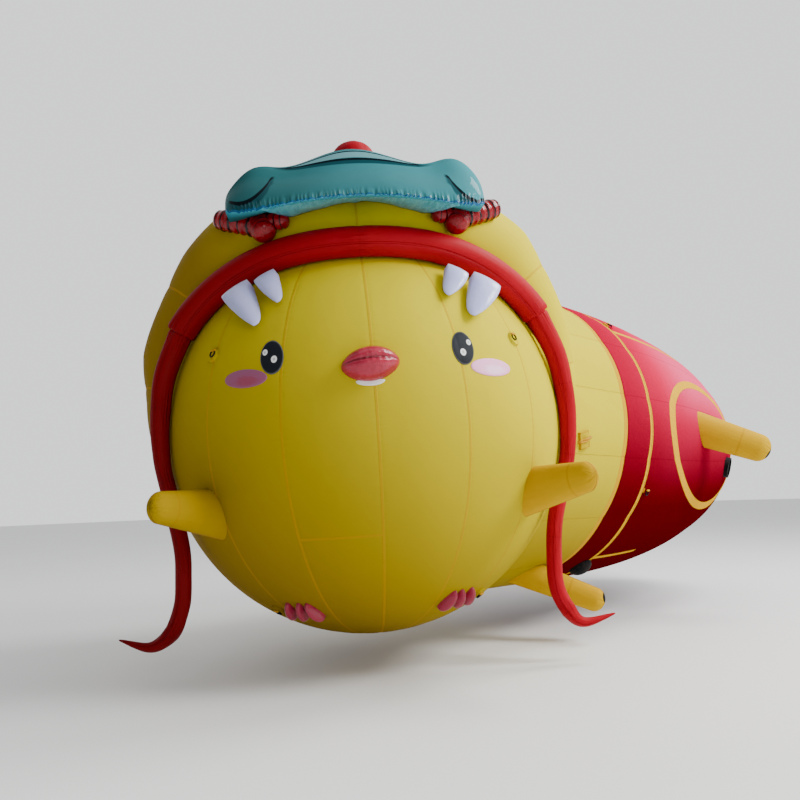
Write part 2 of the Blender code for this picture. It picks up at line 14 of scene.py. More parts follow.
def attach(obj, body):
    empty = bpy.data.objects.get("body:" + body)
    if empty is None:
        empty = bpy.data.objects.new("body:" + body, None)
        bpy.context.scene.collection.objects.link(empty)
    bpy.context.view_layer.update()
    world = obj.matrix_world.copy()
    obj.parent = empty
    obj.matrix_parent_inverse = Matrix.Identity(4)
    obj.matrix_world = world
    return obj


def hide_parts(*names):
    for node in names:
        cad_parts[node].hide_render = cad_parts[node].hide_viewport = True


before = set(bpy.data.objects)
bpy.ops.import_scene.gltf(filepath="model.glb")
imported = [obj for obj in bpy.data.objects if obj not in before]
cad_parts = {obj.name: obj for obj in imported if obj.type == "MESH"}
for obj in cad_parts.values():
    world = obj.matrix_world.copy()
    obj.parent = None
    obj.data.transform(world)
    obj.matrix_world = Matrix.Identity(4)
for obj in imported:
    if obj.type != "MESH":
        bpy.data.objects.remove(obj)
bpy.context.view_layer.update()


# Camera, floor and light. The figure hovers over a pale studio floor, and a standing viewer looks
# slightly up at its face. A large soft light stands high on the right, and a wide one above.
CAMERA_PLACE = Vector((5.3249, -4.8131, -0.5656))
CAMERA_FORWARD = Vector((-0.70442, 0.69932, 0.12146))
CAMERA_UP = Vector((0.11080, -0.06068, 0.99199))
CAMERA_LENS = 34.247
SENSOR = 36.0
FLOOR_HEIGHT = -2.03
FLOOR_REACH = 60.0
MIDDLE = Vector((0.4, 1.0, 0.2))

camera_data = bpy.data.cameras.new("camera")
camera_data.lens = CAMERA_LENS
camera_data.sensor_width = SENSOR
camera_data.clip_end = 300.0
camera = bpy.data.objects.new("camera", camera_data)
camera_right = CAMERA_FORWARD.cross(CAMERA_UP)
camera_turn = Matrix((camera_right, CAMERA_UP, -CAMERA_FORWARD)).transposed().to_4x4()
camera.matrix_world = Matrix.Translation(CAMERA_PLACE) @ camera_turn
bpy.context.scene.collection.objects.link(camera)
bpy.context.scene.camera = camera


def softbox(name, place, size, power, colour=(1.0, 1.0, 1.0)):
    """A square area light at place that faces the middle of the figure."""
    light = bpy.data.lights.new(name, "AREA")
    light.shape = "SQUARE"
    light.size = size
    light.energy = power
    light.color = colour
    lamp = bpy.data.objects.new(name, light)
    lamp.matrix_world = Matrix.Translation(place) @ (MIDDLE - Vector(place)).to_track_quat("-Z", "Y").to_matrix().to_4x4()
    bpy.context.scene.collection.objects.link(lamp)


softbox("key_right", (10.5, 5.0, 8.0), 5.0, 2100.0)
softbox("top_back", (5.0, 9.0, 11.5), 5.0, 1500.0)
softbox("front_low", (11.0, -7.0, 3.0), 4.0, 300.0)

# The studio's walls are bright behind the figure and on its right, and dim on the viewer's left.
BRIGHT_SIDE = (-0.25, 0.95, 0.20)
world = bpy.data.worlds.new("studio")
world.use_nodes = True
nodes, links = world.node_tree.nodes, world.node_tree.links
direction = nodes.new("ShaderNodeTexCoord")
facing = nodes.new("ShaderNodeVectorMath")
facing.operation = "DOT_PRODUCT"
facing.inputs[1].default_value = BRIGHT_SIDE
level = nodes.new("ShaderNodeMapRange")
level.interpolation_type = "SMOOTHSTEP"
for socket, value in (("From Min", -0.7), ("From Max", 0.5), ("To Min", 0.19), ("To Max", 1.30)):
    level.inputs[socket].default_value = value
links.new(direction.outputs["Generated"], facing.inputs[0])
links.new(facing.outputs["Value"], level.inputs["Value"])
links.new(level.outputs["Result"], nodes["Background"].inputs["Strength"])
nodes["Background"].inputs["Color"].default_value = (0.97, 0.98, 1.0, 1.0)
bpy.context.scene.world = world


class Socket:
    """One socket of a material. Its operators add Math nodes, so 1 - mask * 0.5 is an expression."""

    def __init__(self, finish, end):
        self.finish = finish
        self.end = end

    def maths(self, operation, *values):
        return self.finish.node("ShaderNodeMath", {"operation": operation}, dict(enumerate(values)))

    def __add__(self, other):
        return self.maths("ADD", self, other)

    def __sub__(self, other):
        return self.maths("SUBTRACT", self, other)

    def __rsub__(self, other):
        return self.maths("SUBTRACT", other, self)

    def __mul__(self, other):
        return self.maths("MULTIPLY", self, other)

    def __truediv__(self, other):
        return self.maths("DIVIDE", self, other)

    def __pow__(self, other):
        return self.maths("POWER", self, other)

    def __abs__(self):
        return self.maths("ABSOLUTE", self)

    __radd__ = __add__
    __rmul__ = __mul__

    def angle_to(self, other):
        """The angle of the point (other, self), in degrees."""
        return self.maths("ARCTAN2", self, other) * (180.0 / np.pi)

    def near(self):
        """How far a number is from the nearest whole number."""
        return self.maths("PINGPONG", self, 0.5)

    def rise(self, low, high):
        """A smooth step from 0 at low to 1 at high."""
        return self.finish.node("ShaderNodeMapRange", {"interpolation_type": "SMOOTHSTEP"},
                                {"Value": self, "From Min": low, "From Max": high})

    def fall(self, low, high):
        return 1.0 - self.rise(low, high)


class Finish:
    """One procedural material. node() adds any node, and close() joins it to the shader."""

    def __init__(self, name, fixed=()):
        self.material = bpy.data.materials.new(name)
        self.material.use_nodes = True
        self.tree = self.material.node_tree
        self.shader = self.tree.nodes["Principled BSDF"]
        for socket, value in fixed:
            self.shader.inputs[socket].default_value = value

    def put(self, socket, value):
        if isinstance(value, Socket):
            self.tree.links.new(value.end, socket)
        else:
            socket.default_value = value

    def node(self, kind, settings, values, output=0):
        """A node of any type: its settings are set first, then the values or links of its sockets."""
        made = self.tree.nodes.new(kind)
        for name, setting in settings.items():
            setattr(made, name, setting)
        for name, value in values.items():
            self.put(made.inputs[name], value)
        return Socket(self, made.outputs[output])

    def point(self, turn=None, shift=(0.0, 0.0, 0.0)):
        """Object coordinates, in the frame that turn and shift place, as a vector."""
        spot = self.node("ShaderNodeTexCoord", {}, {}, "Object")
        if turn is not None:
            angles = Matrix(turn.tolist()).to_euler()
            spot = self.node("ShaderNodeMapping", {"vector_type": "TEXTURE"},
                             {"Vector": spot, "Location": shift, "Rotation": angles})
        return spot

    def split(self, vector):
        """The three numbers of a vector."""
        return [self.node("ShaderNodeSeparateXYZ", {}, {0: vector}, axis) for axis in range(3)]

    def uv(self):
        return self.split(self.node("ShaderNodeUVMap", {"uv_map": "UVMap"}, {}))[:2]

    def join(self, x, y, z=0.0):
        return self.node("ShaderNodeCombineXYZ", {}, {0: x, 1: y, 2: z})

    def noise(self, vector, scale, detail=3.0, distortion=0.0):
        """Smooth noise, from 0 to 1."""
        return self.node("ShaderNodeTexNoise", {}, {"Vector": vector, "Scale": scale,
                                                    "Detail": detail, "Distortion": distortion})

    def mix(self, mask, first, second):
        """The first colour where mask is 0, and the second where it is 1."""
        first, second = [(*tone, 1.0) if isinstance(tone, tuple) else tone for tone in (first, second)]
        return self.node("ShaderNodeMix", {"data_type": "RGBA"}, {0: mask, 6: first, 7: second}, 2)

    def close(self, colour, roughness, height, depth=0.01):
        """Joins colour, roughness and a height in shares of depth metres to the shader."""
        self.put(self.shader.inputs["Base Color"], colour)
        self.put(self.shader.inputs["Roughness"], roughness)
        bump = self.node("ShaderNodeBump", {}, {"Height": height, "Distance": depth, "Strength": 1.0})
        self.put(self.shader.inputs["Normal"], bump)
        return self


def surface(name, points, finish, uv=None, middle=None):
    """A mesh object from a grid of points, rows by columns, with one quad for each cell.

    Points that meet, at a seam or a pole, are merged. A closed surface has its normals worked out
    afresh, and an open one is turned to face away from its middle. The UV map holds the grid's own
    shares unless uv gives two other arrays.
    """
    rows, columns = points.shape[:2]
    index = np.arange(rows * columns).reshape(rows, columns)
    quads = np.stack([index[:-1, :-1], index[:-1, 1:], index[1:, 1:], index[1:, :-1]], axis=-1)
    quads = quads.reshape(-1, 4)
    if uv is None:
        uv = np.meshgrid(np.linspace(0, 1, columns), np.linspace(0, 1, rows))
    corners = np.stack(uv, axis=-1).reshape(-1, 2)[quads.ravel()]
    mesh = bpy.data.meshes.new(name)
    mesh.from_pydata(points.reshape(-1, 3).tolist(), [], quads.tolist())
    mesh.uv_layers.new(name="UVMap").data.foreach_set("uv", corners.astype(np.float32).ravel())
    work = bmesh.new()
    work.from_mesh(mesh)
    bmesh.ops.remove_doubles(work, verts=work.verts, dist=1e-5)
    if middle is None:
        bmesh.ops.recalc_face_normals(work, faces=work.faces)
    elif sum(face.normal.dot(face.calc_center_median() - Vector(middle)) for face in work.faces) < 0:
        bmesh.ops.reverse_faces(work, faces=work.faces)
    work.to_mesh(mesh)
    work.free()
    mesh.shade_smooth()
    mesh.materials.append(finish.material)
    made = bpy.data.objects.new(name, mesh)
    bpy.context.scene.collection.objects.link(made)
    return made


def carried(piece, slot, *nodes, fill=None):
    """The piece rides on the one body and stands for the CAD nodes, which it hides; slot is not used."""
    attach(piece, "root")
    if nodes:
        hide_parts(*nodes)
    return piece


floor_finish = Finish("studio_floor")
floor_tone = floor_finish.noise(floor_finish.point(), 0.6)
floor_finish.close(floor_finish.mix(floor_tone, (0.78, 0.78, 0.77), (0.82, 0.82, 0.81)), 0.85, floor_tone, 0.001)
reach, around = np.meshgrid(np.linspace(0.0, FLOOR_REACH, 13), np.linspace(0.0, 2 * np.pi, 65), indexing="ij")
floor_points = np.stack([reach * np.cos(around), reach * np.sin(around), 0 * reach + FLOOR_HEIGHT], axis=-1)
surface("studio_floor", floor_points, floor_finish, middle=(0.0, 0.0, -9.0))
bpy.data.objects["studio_floor"].data.flip_normals()


# The round ball: sixteen gores of coated nylon, sewn edge to edge from pole to pole. Air at low
# pressure fills it, so each gore is slightly fuller than its seams, and the seams pucker.
HEAD_TURN = np.array((Matrix.Rotation(np.radians(2.8), 3, "X") @ Matrix.Rotation(np.radians(50.0), 3, "Z")))
BALL_RADIUS = 1.80
GORES = 16
FIRST_SEAM = 0.7
GORE_FULLNESS = 0.006
YELLOW = (0.58, 0.48, 0.002)
YELLOW_PALE = (0.62, 0.53, 0.003)
# The yellow cloth's painted shade, for its dim side and underside.
YELLOW_PAINTED_SHADE = (0.235, 0.145, 0.001)
YELLOW_SEAM = (0.46, 0.22, 0.002)
CROSS_SEAM_DROP = 0.814


def head(points):
    """Points of the head frame, placed in the part's frame."""
    return points @ HEAD_TURN.T


def ball_reach(longitude, latitude):
    """The ball's radius: least at the seams, and fuller by a sine of the share across each gore."""
    share = (longitude - FIRST_SEAM) * GORES / 360.0
    bulge = np.abs(np.sin(np.pi * share)) ** 0.55 - 0.72
    return BALL_RADIUS + GORE_FULLNESS * bulge * np.cos(np.radians(latitude)) ** 0.6


def on_ball(longitude, latitude, lift=0.0):
    """Points over the ball: longitude in degrees from the face towards +X, latitude upwards."""
    reach = ball_reach(longitude, latitude) + lift
    lon, lat = np.radians(longitude), np.radians(latitude)
    return np.stack([reach * np.sin(lon) * np.cos(lat), -reach * np.cos(lon) * np.cos(lat),
                     reach * np.sin(lat)], axis=-1)


def weave(finish, spot):
    """The cloth's fine square weave and its faint long waves, as one height."""
    x, y, z = finish.split(spot)
    fine = (x * 90.0).near() + (y * 90.0).near() + (z * 90.0).near()
    return fine * 0.03 + finish.noise(spot, 1.6, 4.0, 0.6) * 1.6


def yellow_cloth(share, reach, spot, painted_shade, cross_seam=0.0):
    """Yellow nylon with seams where share is whole: reach turns that share into metres.

    The seam is an orange tape with small folds that run out from it, and cross_seam is 1 on a second
    one. Where the painted shade mask is 1, the cloth is painted darker: painted shade.
    """
    from_seam = share.near() * reach
    finish = share.finish
    x, y, z = finish.split(spot)
    tape = from_seam.fall(0.006, 0.013).maths("MAXIMUM", from_seam.fall(0.006, 0.013), cross_seam)
    folds = finish.noise(finish.join(from_seam * 3.0, z * 26.0, x * 3.0 + y * 3.0), 1.0, 3.0)
    folds = folds * from_seam.fall(0.0, 0.13)
    patchy = finish.noise(spot, 0.9, 4.0)
    tone = finish.mix(patchy.rise(0.3, 0.7) * 0.35, YELLOW, YELLOW_PALE)
    # Painted shade: the cloth is painted darker where the painted shade mask is 1.
    tone = finish.mix(painted_shade, tone, YELLOW_PAINTED_SHADE)
    tone = finish.mix(tape * 0.45, tone, YELLOW_SEAM)
    height = weave(finish, spot) + folds * 0.7 + tape * 0.25 - from_seam.fall(0.0, 0.04) * 0.2
    finish.close(tone, 0.58 + patchy * 0.12, height, 0.008)
    return finish


ball_finish = Finish("ball_yellow_cloth", (("Specular IOR Level", 0.02),))
ball_spot = ball_finish.point(HEAD_TURN)
ball_x, ball_y, ball_z = ball_finish.split(ball_spot)
ball_share = (ball_x.angle_to(0.0 - ball_y) - FIRST_SEAM) * (GORES / 360.0)
ball_ring = (ball_x * ball_x + ball_y * ball_y) ** 0.5
# Painted shade: the ball is painted darker towards the head frame's -X side and its bottom.
ball_painted_shade = (ball_x * -0.5 + ball_z * -0.65).rise(-1.0, 1.3)
ball_cross = abs(ball_z + CROSS_SEAM_DROP).fall(0.005, 0.011) * abs(ball_share + 0.5).fall(0.49, 0.50)
yellow_cloth(ball_share, ball_ring * (2 * np.pi / GORES), ball_spot, ball_painted_shade, ball_cross)

lat, lon = np.meshgrid(np.linspace(-90.0, 90.0, 91), np.linspace(-180.0, 180.0, GORES * 14 + 1), indexing="ij")
lon = lon + FIRST_SEAM
ball = surface("ball_skin", head(on_ball(lon, lat)), ball_finish)
carried(ball, "yellow_cloth", "ball_envelope", fill=1.0)


# The face: two oval eyes, two round cheeks and a small mouth, cut from thin cloth and sewn flat on
# the ball's gores. Each patch is a dish of rings laid over the ball, with its edge sewn down.
PATCH_LIFT = 0.006
EYE_HALF = (0.095, 0.141)
EYE_BLACK = (0.012, 0.014, 0.018)
EYE_EDGE = (0.10, 0.105, 0.10)
EYE_WHITE = (0.82, 0.82, 0.80)
EYE_GREY = (0.36, 0.38, 0.40)
# Columns: name, longitude, latitude, tilt in degrees, and for each spark its x, y and half width.
EYES = (("left", -24.63, 17.5, 12.0, ((-0.049, 0.054, 0.021), (0.018, -0.026, 0.024))),
        ("right", 24.51, 17.1, -9.0, ((0.054, 0.055, 0.020), (-0.003, -0.038, 0.024))))
# Columns: name, longitude, latitude, tilt, half width, half height, edge colour, middle colour. The left cheek's
# colours are the right's painted darker, as painted shade on the dim side.
CHEEKS = (("left", -31.9, 12.85, -4.0, 0.198, 0.072, (0.26, 0.065, 0.14), (0.28, 0.042, 0.085)),
          ("right", 32.2, 12.1, -1.0, 0.203, 0.072, (0.86, 0.36, 0.58), (0.90, 0.55, 0.72)))
MOUTH_PLACE = (-0.3, 9.5)
MOUTH_HALF = (0.105, 0.036)


def patch(name, place, half, tilt, finish, outline=None):
    """A patch over the ball: a disc of rings, stretched to its half sizes and leaned by tilt.

    A point's two distances in the plane that touches the ball become degrees of longitude and
    latitude, and the patch stands off the ball by a thin edge. The UV map holds the distances.
    """
    ring, turn = np.meshgrid(np.append(np.linspace(0, 1, 15), 1.0), np.linspace(0, 2 * np.pi, 73), indexing="ij")
    x, y = half[0] * ring * np.cos(turn), half[1] * ring * np.sin(turn)
    if outline is not None:
        y = outline(x / half[0], y / half[1]) * half[1]
    lean = np.radians(tilt)
    right = x * np.cos(lean) - y * np.sin(lean)
    above = x * np.sin(lean) + y * np.cos(lean)
    latitude = place[1] + np.degrees(above / BALL_RADIUS)
    longitude = place[0] + np.degrees(right / (BALL_RADIUS * np.cos(np.radians(place[1]))))
    lift = np.full(ring.shape, PATCH_LIFT) * (1.0 - 0.5 * ring ** 8)
    lift[-1] = -0.004
    made = surface(name, head(on_ball(longitude, latitude, lift)), finish, (x, y), middle=(0.0, 0.0, 0.0))
    return carried(made, "yellow_cloth")


def disc(x, y, centre, half):
    """How many half widths a point is from the centre of an oval."""
    return (((x - centre[0]) / half[0]) ** 2.0 + ((y - centre[1]) / half[1]) ** 2.0) ** 0.5


for name, longitude, latitude, tilt, sparks in EYES:
    finish = Finish(f"eye_{name}_cloth", (("Specular IOR Level", 0.05),))
    x, y = finish.uv()
    tone = finish.mix(disc(x, y, (0.0, 0.0), EYE_HALF).rise(0.90, 0.96) * 0.8, EYE_BLACK, EYE_EDGE)
    for spark_x, spark_y, spark in sparks:
        away = disc(x, y, (spark_x, spark_y), (spark, spark * 1.2))
        tone = finish.mix(away.fall(0.90, 1.10), tone, EYE_WHITE)
        tone = finish.mix(away.fall(0.30, 0.60) * 0.8, tone, EYE_GREY)
    finish.close(tone, 0.42 + finish.noise(finish.point(), 6.0) * 0.10, weave(finish, finish.point()), 0.006)
    patch(f"eye_{name}", (longitude, latitude), EYE_HALF, tilt, finish)

for name, longitude, latitude, tilt, half_x, half_y, edge, middle in CHEEKS:
    finish = Finish(f"cheek_{name}_cloth")
    x, y = finish.uv()
    streaks = finish.noise(finish.join(x * 9.0 + y * 6.0, y * 30.0), 2.2, 5.0, 0.8)
    blush = disc(x, y, (0.02, -0.02), (half_x * 0.75, half_y * 0.8)).fall(0.3, 1.0)
    tone = finish.mix((blush * 0.6 + streaks - 0.35).rise(0.15, 0.75), edge, middle)
    finish.close(tone, 0.55 + streaks * 0.1, weave(finish, finish.point()), 0.006)
    patch(f"cheek_{name}", (longitude, latitude), (half_x, half_y), tilt, finish)

mouth_finish = Finish("mouth_cloth")
mouth_x, mouth_y = mouth_finish.uv()
mouth_tone = mouth_finish.noise(mouth_finish.point(), 12.0)
mouth_finish.close(mouth_finish.mix(mouth_tone, (0.80, 0.79, 0.76), (0.70, 0.68, 0.62)), 0.5, mouth_tone, 0.003)
patch("mouth", MOUTH_PLACE, MOUTH_HALF, 0.0, mouth_finish, lambda x, y: np.where(y > 0, 0.35 * y, y))


# The hood: a bulging yellow sleeve round the ball's top and sides, sewn to it along the mouth and
# behind. Lengthwise seams divide it, and it is fullest at its upper corners.
FABRIC = 0.010
LIP_RADIUS = 0.125
LIP_HALF_ROLL = 60.0
HOOD_HALF_ROLL = 100.0
HOOD_SEAT = 0.022
HOOD_SETBACK = 0.19
HOOD_SEAM_STEP = 25.0
# Columns: roll in degrees, the hood's height over the ball on the left side, and on the right side.
HOOD_HEIGHTS = np.array(((0, 0.50, 0.50), (25, 0.645, 0.645), (42, 0.56, 0.65), (55, 0.45, 0.51),
                         (67, 0.375, 0.39), (79, 0.22, 0.28), (90, 0.13, 0.165), (100, 0.04, 0.04)))


def rim_y(roll):
    """How far forward the mouth's rim lies at a roll in degrees: it arches out over the face."""
    return -0.76 - 0.47 * np.cos(np.radians(np.clip(1.5 * np.abs(roll), 0.0, 90.0))) ** 1.4


def hood_points(roll, along):
    """The hood over the ball: roll in degrees, and along from 0 at the rim to 1 behind the ball.

    Its height over the ball is a table's value for that roll times a power of a sine of along, and
    between two seams it is fuller by a sine of the share across the panel.
    """
    first = np.arccos((-rim_y(roll) - HOOD_SETBACK) / (BALL_RADIUS + HOOD_SEAT))
    polar = first + (np.pi - first) * along
    rolls, left, right = HOOD_HEIGHTS.T
    height = np.where(roll < 0, np.interp(np.abs(roll), rolls, left), np.interp(np.abs(roll), rolls, right))
    swell = np.sin(np.pi * np.maximum(along, 0.0) ** 0.5) ** 0.8
    puff = 0.022 * (np.abs(np.sin(np.pi * roll / HOOD_SEAM_STEP)) ** 0.6 - 0.6) * swell
    reach = BALL_RADIUS + HOOD_SEAT + (height - HOOD_SEAT) * swell + puff
    turn = np.radians(roll)
    return np.stack([reach * np.sin(polar) * np.sin(turn), -reach * np.cos(polar),
                     reach * np.sin(polar) * np.cos(turn)], axis=-1)


hood_finish = Finish("hood_yellow_cloth", (("Specular IOR Level", 0.02),))
hood_spot = hood_finish.point(HEAD_TURN)
hood_x, hood_y, hood_z = hood_finish.split(hood_spot)
hood_share = hood_x.angle_to(hood_z) / HOOD_SEAM_STEP
hood_ring = (hood_x * hood_x + hood_z * hood_z) ** 0.5
# Painted shade: the hood is painted darker towards the head frame's -X side, and a little towards its bottom.
hood_painted_shade = (hood_x * -0.85 + hood_z * -0.10).rise(-0.5, 1.5) * 1.15
yellow_cloth(hood_share, hood_ring * np.radians(HOOD_SEAM_STEP), hood_spot, hood_painted_shade)

along, roll = np.meshgrid(np.linspace(0.0, 1.0, 65) ** 1.25, np.linspace(-HOOD_HALF_ROLL, HOOD_HALF_ROLL, 161),
                          indexing="ij")
hood = surface("hood_skin", head(hood_points(roll, along)), hood_finish, middle=(0.0, 0.0, 0.0))
wall = hood.modifiers.new("fabric", "SOLIDIFY")
wall.thickness = FABRIC
wall.offset = -1.0
carried(hood, "yellow_cloth", "hood_envelope")


# The lip: a fat red roll of nylon along the mouth of the hood, sewn shut along a seam in its front
# and joined to the whiskers below. It creases at the joints, where its cloth is gathered.
RED = (0.36, 0.002, 0.010)
RED_BRIGHT = (0.44, 0.004, 0.022)
# The red cloth's painted shade, for its dim side.
RED_PAINTED_SHADE = (0.10, 0.001, 0.001)
RED_DARK_SEAM = (0.10, 0.001, 0.002)


def tube(path, radii, side, columns=33):
    """A tube along a path: a ring of points round each of its points, in whole arrays.

    The ring lies across the path's direction, and its first point is turned towards side. The radii
    are one for each point of the path, or a grid of one for each point of each ring.
    """
    tangent = np.gradient(path, axis=0)
    tangent /= np.linalg.norm(tangent, axis=1, keepdims=True)
    first = np.asarray(side, dtype=float) - tangent * (tangent @ np.asarray(side, dtype=float))[:, None]
    first /= np.linalg.norm(first, axis=1, keepdims=True)
    second = np.cross(tangent, first)
    turn = np.linspace(0.0, 2 * np.pi, columns)
    ring = first[:, None] * np.cos(turn)[:, None] + second[:, None] * np.sin(turn)[:, None]
    radii = np.asarray(radii, dtype=float)
    if radii.ndim == 1:
        radii = radii[:, None]
    return path[:, None] + ring * radii[..., None]


def ends(along, root, tip):
    """1 along the middle of a piece, rounded down to 0 over the shares root and tip at its ends."""
    near = np.clip(1 - along / root, 0, 1) if root else 0 * along
    far = np.clip(1 - (1 - along) / tip, 0, 1) if tip else 0 * along
    return np.sqrt(np.clip(1 - near ** 2, 0, 1)) * np.sqrt(np.clip(1 - far ** 2, 0, 1))


def lip_path(roll):
    """The middle line of the lip, which rests on the ball along the mouth's rim."""
    reach = BALL_RADIUS + LIP_RADIUS + 0.004
    y = rim_y(roll)
    across = np.sqrt(reach ** 2 - y ** 2)
    turn = np.radians(roll)
    return np.stack([across * np.sin(turn), y, across * np.cos(turn)], axis=-1)


def red_cloth(name, length, joints):
    """Red nylon along a tube: a dark seam on its front, and gathered creases at its joints.

    The UV map's first number goes round the tube and its second along it. Joints are places along it
    in metres, where small folds run out from the stitches.
    """
    finish = Finish(name, (("Specular IOR Level", 0.06),))
    u, v = finish.uv()
    spot = finish.point(HEAD_TURN)
    x, y, z = finish.split(spot)
    along = v * length
    seam = abs((u - 0.06).near() * 0.7).fall(0.004, 0.010)
    pleats = finish.noise(finish.join(u * 16.0, along * 1.6), 1.6, 3.0, 0.4)
    folds = pleats * 0.25
    lines = seam * 0.14
    for joint in joints:
        folds = folds + pleats * abs(along - joint).fall(0.0, 0.22) * 1.6
        lines = lines + abs(along - joint).fall(0.004, 0.012) * 0.22
    patchy = finish.noise(spot, 2.5, 4.0)
    tone = finish.mix(patchy.rise(0.35, 0.7) * 0.3, RED, RED_BRIGHT)
    # Painted shade: the red cloth is painted darker towards the head frame's -X side, and a little towards the bottom.
    tone = finish.mix((x * -0.6 + z * -0.1).rise(-1.2, 1.5) * 0.8, tone, RED_PAINTED_SHADE)
    tone = finish.mix(lines.rise(0.0, 1.0), tone, RED_DARK_SEAM)
    height = weave(finish, spot) * 0.5 + folds - seam * 0.5
    return finish.close(tone, 0.46 + patchy * 0.12, height, 0.014)


lip_roll = np.linspace(-LIP_HALF_ROLL, LIP_HALF_ROLL, 161)
lip_line = lip_path(lip_roll)
lip_length = np.linalg.norm(np.diff(lip_line, axis=0), axis=1).sum()
lip_share = np.linspace(0.0, 1.0, len(lip_roll))
lip_around = np.linspace(0.0, 2 * np.pi, 33)
gather = 0.004 * np.sin(9 * lip_around + 3.0 * np.sin(2 * lip_around)) * (
    np.exp(-(lip_share[:, None] / 0.05) ** 2) + np.exp(-((1 - lip_share[:, None]) / 0.05) ** 2)
    + 0.5 * np.exp(-((lip_share[:, None] - 0.5) / 0.03) ** 2))
waist = 1.0 - 0.03 * np.exp(-((lip_share[:, None] - 0.5) / 0.008) ** 2)
lip_radii = (LIP_RADIUS * waist + gather) * ends(lip_share, 0.010, 0.010)[:, None]
lip = surface("lip_roll", head(tube(lip_line, lip_radii, (0.0, -1.0, 0.0))),
              red_cloth("lip_red_cloth", lip_length, (0.0, lip_length / 2, lip_length)))
carried(lip, "red_cloth", "lip_tube", fill=0.95)


# The whiskers: two long red tubes that hang from the lip's ends past the ball and curl outwards to a
# point. Each is sewn shut lengthwise and gathered where it curls.
WHISKER_TOP = 0.100
WHISKER_MIDDLE = 0.066
RIM_Y = -0.76
# Columns: name, side, and x and z of points down the hanging length and round the curl to the tip.
WHISKERS = (("left", -1, ((1.59, -0.85), (1.585, -1.10), (1.61, -1.34), (1.70, -1.54), (1.87, -1.635), (2.12, -1.555))),
            ("right", 1, ((1.54, -0.85), (1.50, -1.15), (1.50, -1.43), (1.58, -1.625), (1.71, -1.74), (1.99, -1.69))))
# Columns: roll in degrees, and how far the whisker is drawn in from the lip's line.
WHISKER_ROLLS = np.array(((58.5, 1.0), (72, 0.990), (84, 0.975), (95, 0.974), (105, 0.974)))


def smooth_path(guides, count):
    """Evenly timed points on a Catmull-Rom curve through the guide points."""
    padded = np.vstack([2 * guides[0] - guides[1], guides, 2 * guides[-1] - guides[-2]])
    span = np.linspace(0, len(guides) - 1, count)
    index = np.minimum(span.astype(int), len(guides) - 2)
    t = (span - index)[:, None]
    before, start, end, after = (padded[index + k] for k in range(4))
    return 0.5 * (2 * start + (end - before) * t + (2 * before - 5 * start + 4 * end - after) * t ** 2
                  + (3 * start - before - 3 * end + after) * t ** 3)


for name, side, hanging in WHISKERS:
    guides = lip_path(WHISKER_ROLLS[:, 0]) * WHISKER_ROLLS[:, 1:]
    guides = np.vstack([guides, [(x, RIM_Y, z) for x, z in hanging]])
    line = smooth_path(guides * np.array([side, 1.0, 1.0]), 181)
    along = np.linspace(0.0, 1.0, len(line))
    radii = WHISKER_MIDDLE + (WHISKER_TOP - WHISKER_MIDDLE) * np.clip(1 - along * 3, 0, 1)
    radii = radii * np.clip((1.003 - along) / 0.20, 0.0, 1.0) ** 0.7 * ends(along, 0.008, 0.004)
    away = np.linalg.norm(line, axis=1)
    line = line * (np.maximum(away, BALL_RADIUS + radii + 0.006) / away)[:, None]
    length = np.linalg.norm(np.diff(line, axis=0), axis=1).sum()
    around = np.linspace(0.0, 2 * np.pi, 29)
    ripple = 0.05 * np.sin(7 * around + 40 * along[:, None]) * np.exp(-((along[:, None] - 0.8) / 0.12) ** 2)
    ripple = ripple + 0.06 * np.sin(8 * around) * np.exp(-(along[:, None] / 0.03) ** 2)
    tips = [0.0, length * 0.17, length * 0.36, length * 0.55, length * 0.80]
    whisker = surface(f"whisker_tube_{name}", head(tube(line, radii[:, None] * (1 + ripple), (0.0, -1.0, 0.0), 29)),
                      red_cloth(f"whisker_{name}_red_cloth", length, tips))
    carried(whisker, "red_cloth", f"whisker_{name}", fill=0.9)


# The fangs: flat white teeth of glossy sheet, two on each side. Each is welded round its outline and
# sewn to the lip along a slanted base, with its outer side curved and its inner side nearly straight.
FANG_DEPTH = 0.072
FANG_SHIFT = np.array((0.018, 0.0, -0.028))
# Columns: name, root and tip in the head frame on the right side, scale of the outline.
FANGS = (("big", (0.955, -1.15, 1.235), (0.845, -1.47, 0.80), 1.0, 1.0),
         ("small", (0.725, -1.20, 1.30), (0.665, -1.445, 0.975), 0.76, 0.745))


def fang_points(root, tip, wide, long, side):
    """A tooth: rows from its base to its tip, and columns round it.

    The outline's two edges are powers of the row, and the base is a slanted line with a corner. The
    section between the edges is an oval. The first row closes the base in its middle.
    """
    root, tip = (np.array(point) * np.array([side, 1.0, 1.0]) for point in (root, tip))
    root = root + (FANG_SHIFT if side > 0 else 0.0)
    down = (tip - root) / np.linalg.norm(tip - root)
    outward = np.array([side, 0.0, 0.0]) - down * down[0] * side
    outward /= np.linalg.norm(outward)
    front = np.cross(down, outward) * side
    front *= -np.sign(front[1])
    row, turn = np.meshgrid(np.concatenate([[0.0], np.linspace(0.0, 1.0, 33)]), np.linspace(0, 2 * np.pi, 41),
                            indexing="ij")
    across = np.cos(turn)
    outer = 0.185 * np.maximum(1 - row ** (1.40 + 0.22 * side), 0.0) ** 0.85
    inner = -0.078 * np.maximum(1 - row ** 6.0, 0.0) ** 0.6
    x = wide * (inner + (outer - inner) * (across + 1) / 2 - 0.004)
    base = np.interp(x[1] / wide, [-0.078, -0.045, 0.185], [0.115, 0.025, 0.165])
    s = long * (base + (0.555 - base) * row ** 0.95)
    thick = FANG_DEPTH * wide * (1 - row ** 1.6) ** 0.8 * (1.0 - 0.55 * (1 - row) ** 6) * np.sin(turn)
    x[0], s[0], thick[0] = x[1].mean(), s[1].mean(), 0.0
    return root + outward * x[..., None] + down * s[..., None] + front * thick[..., None]


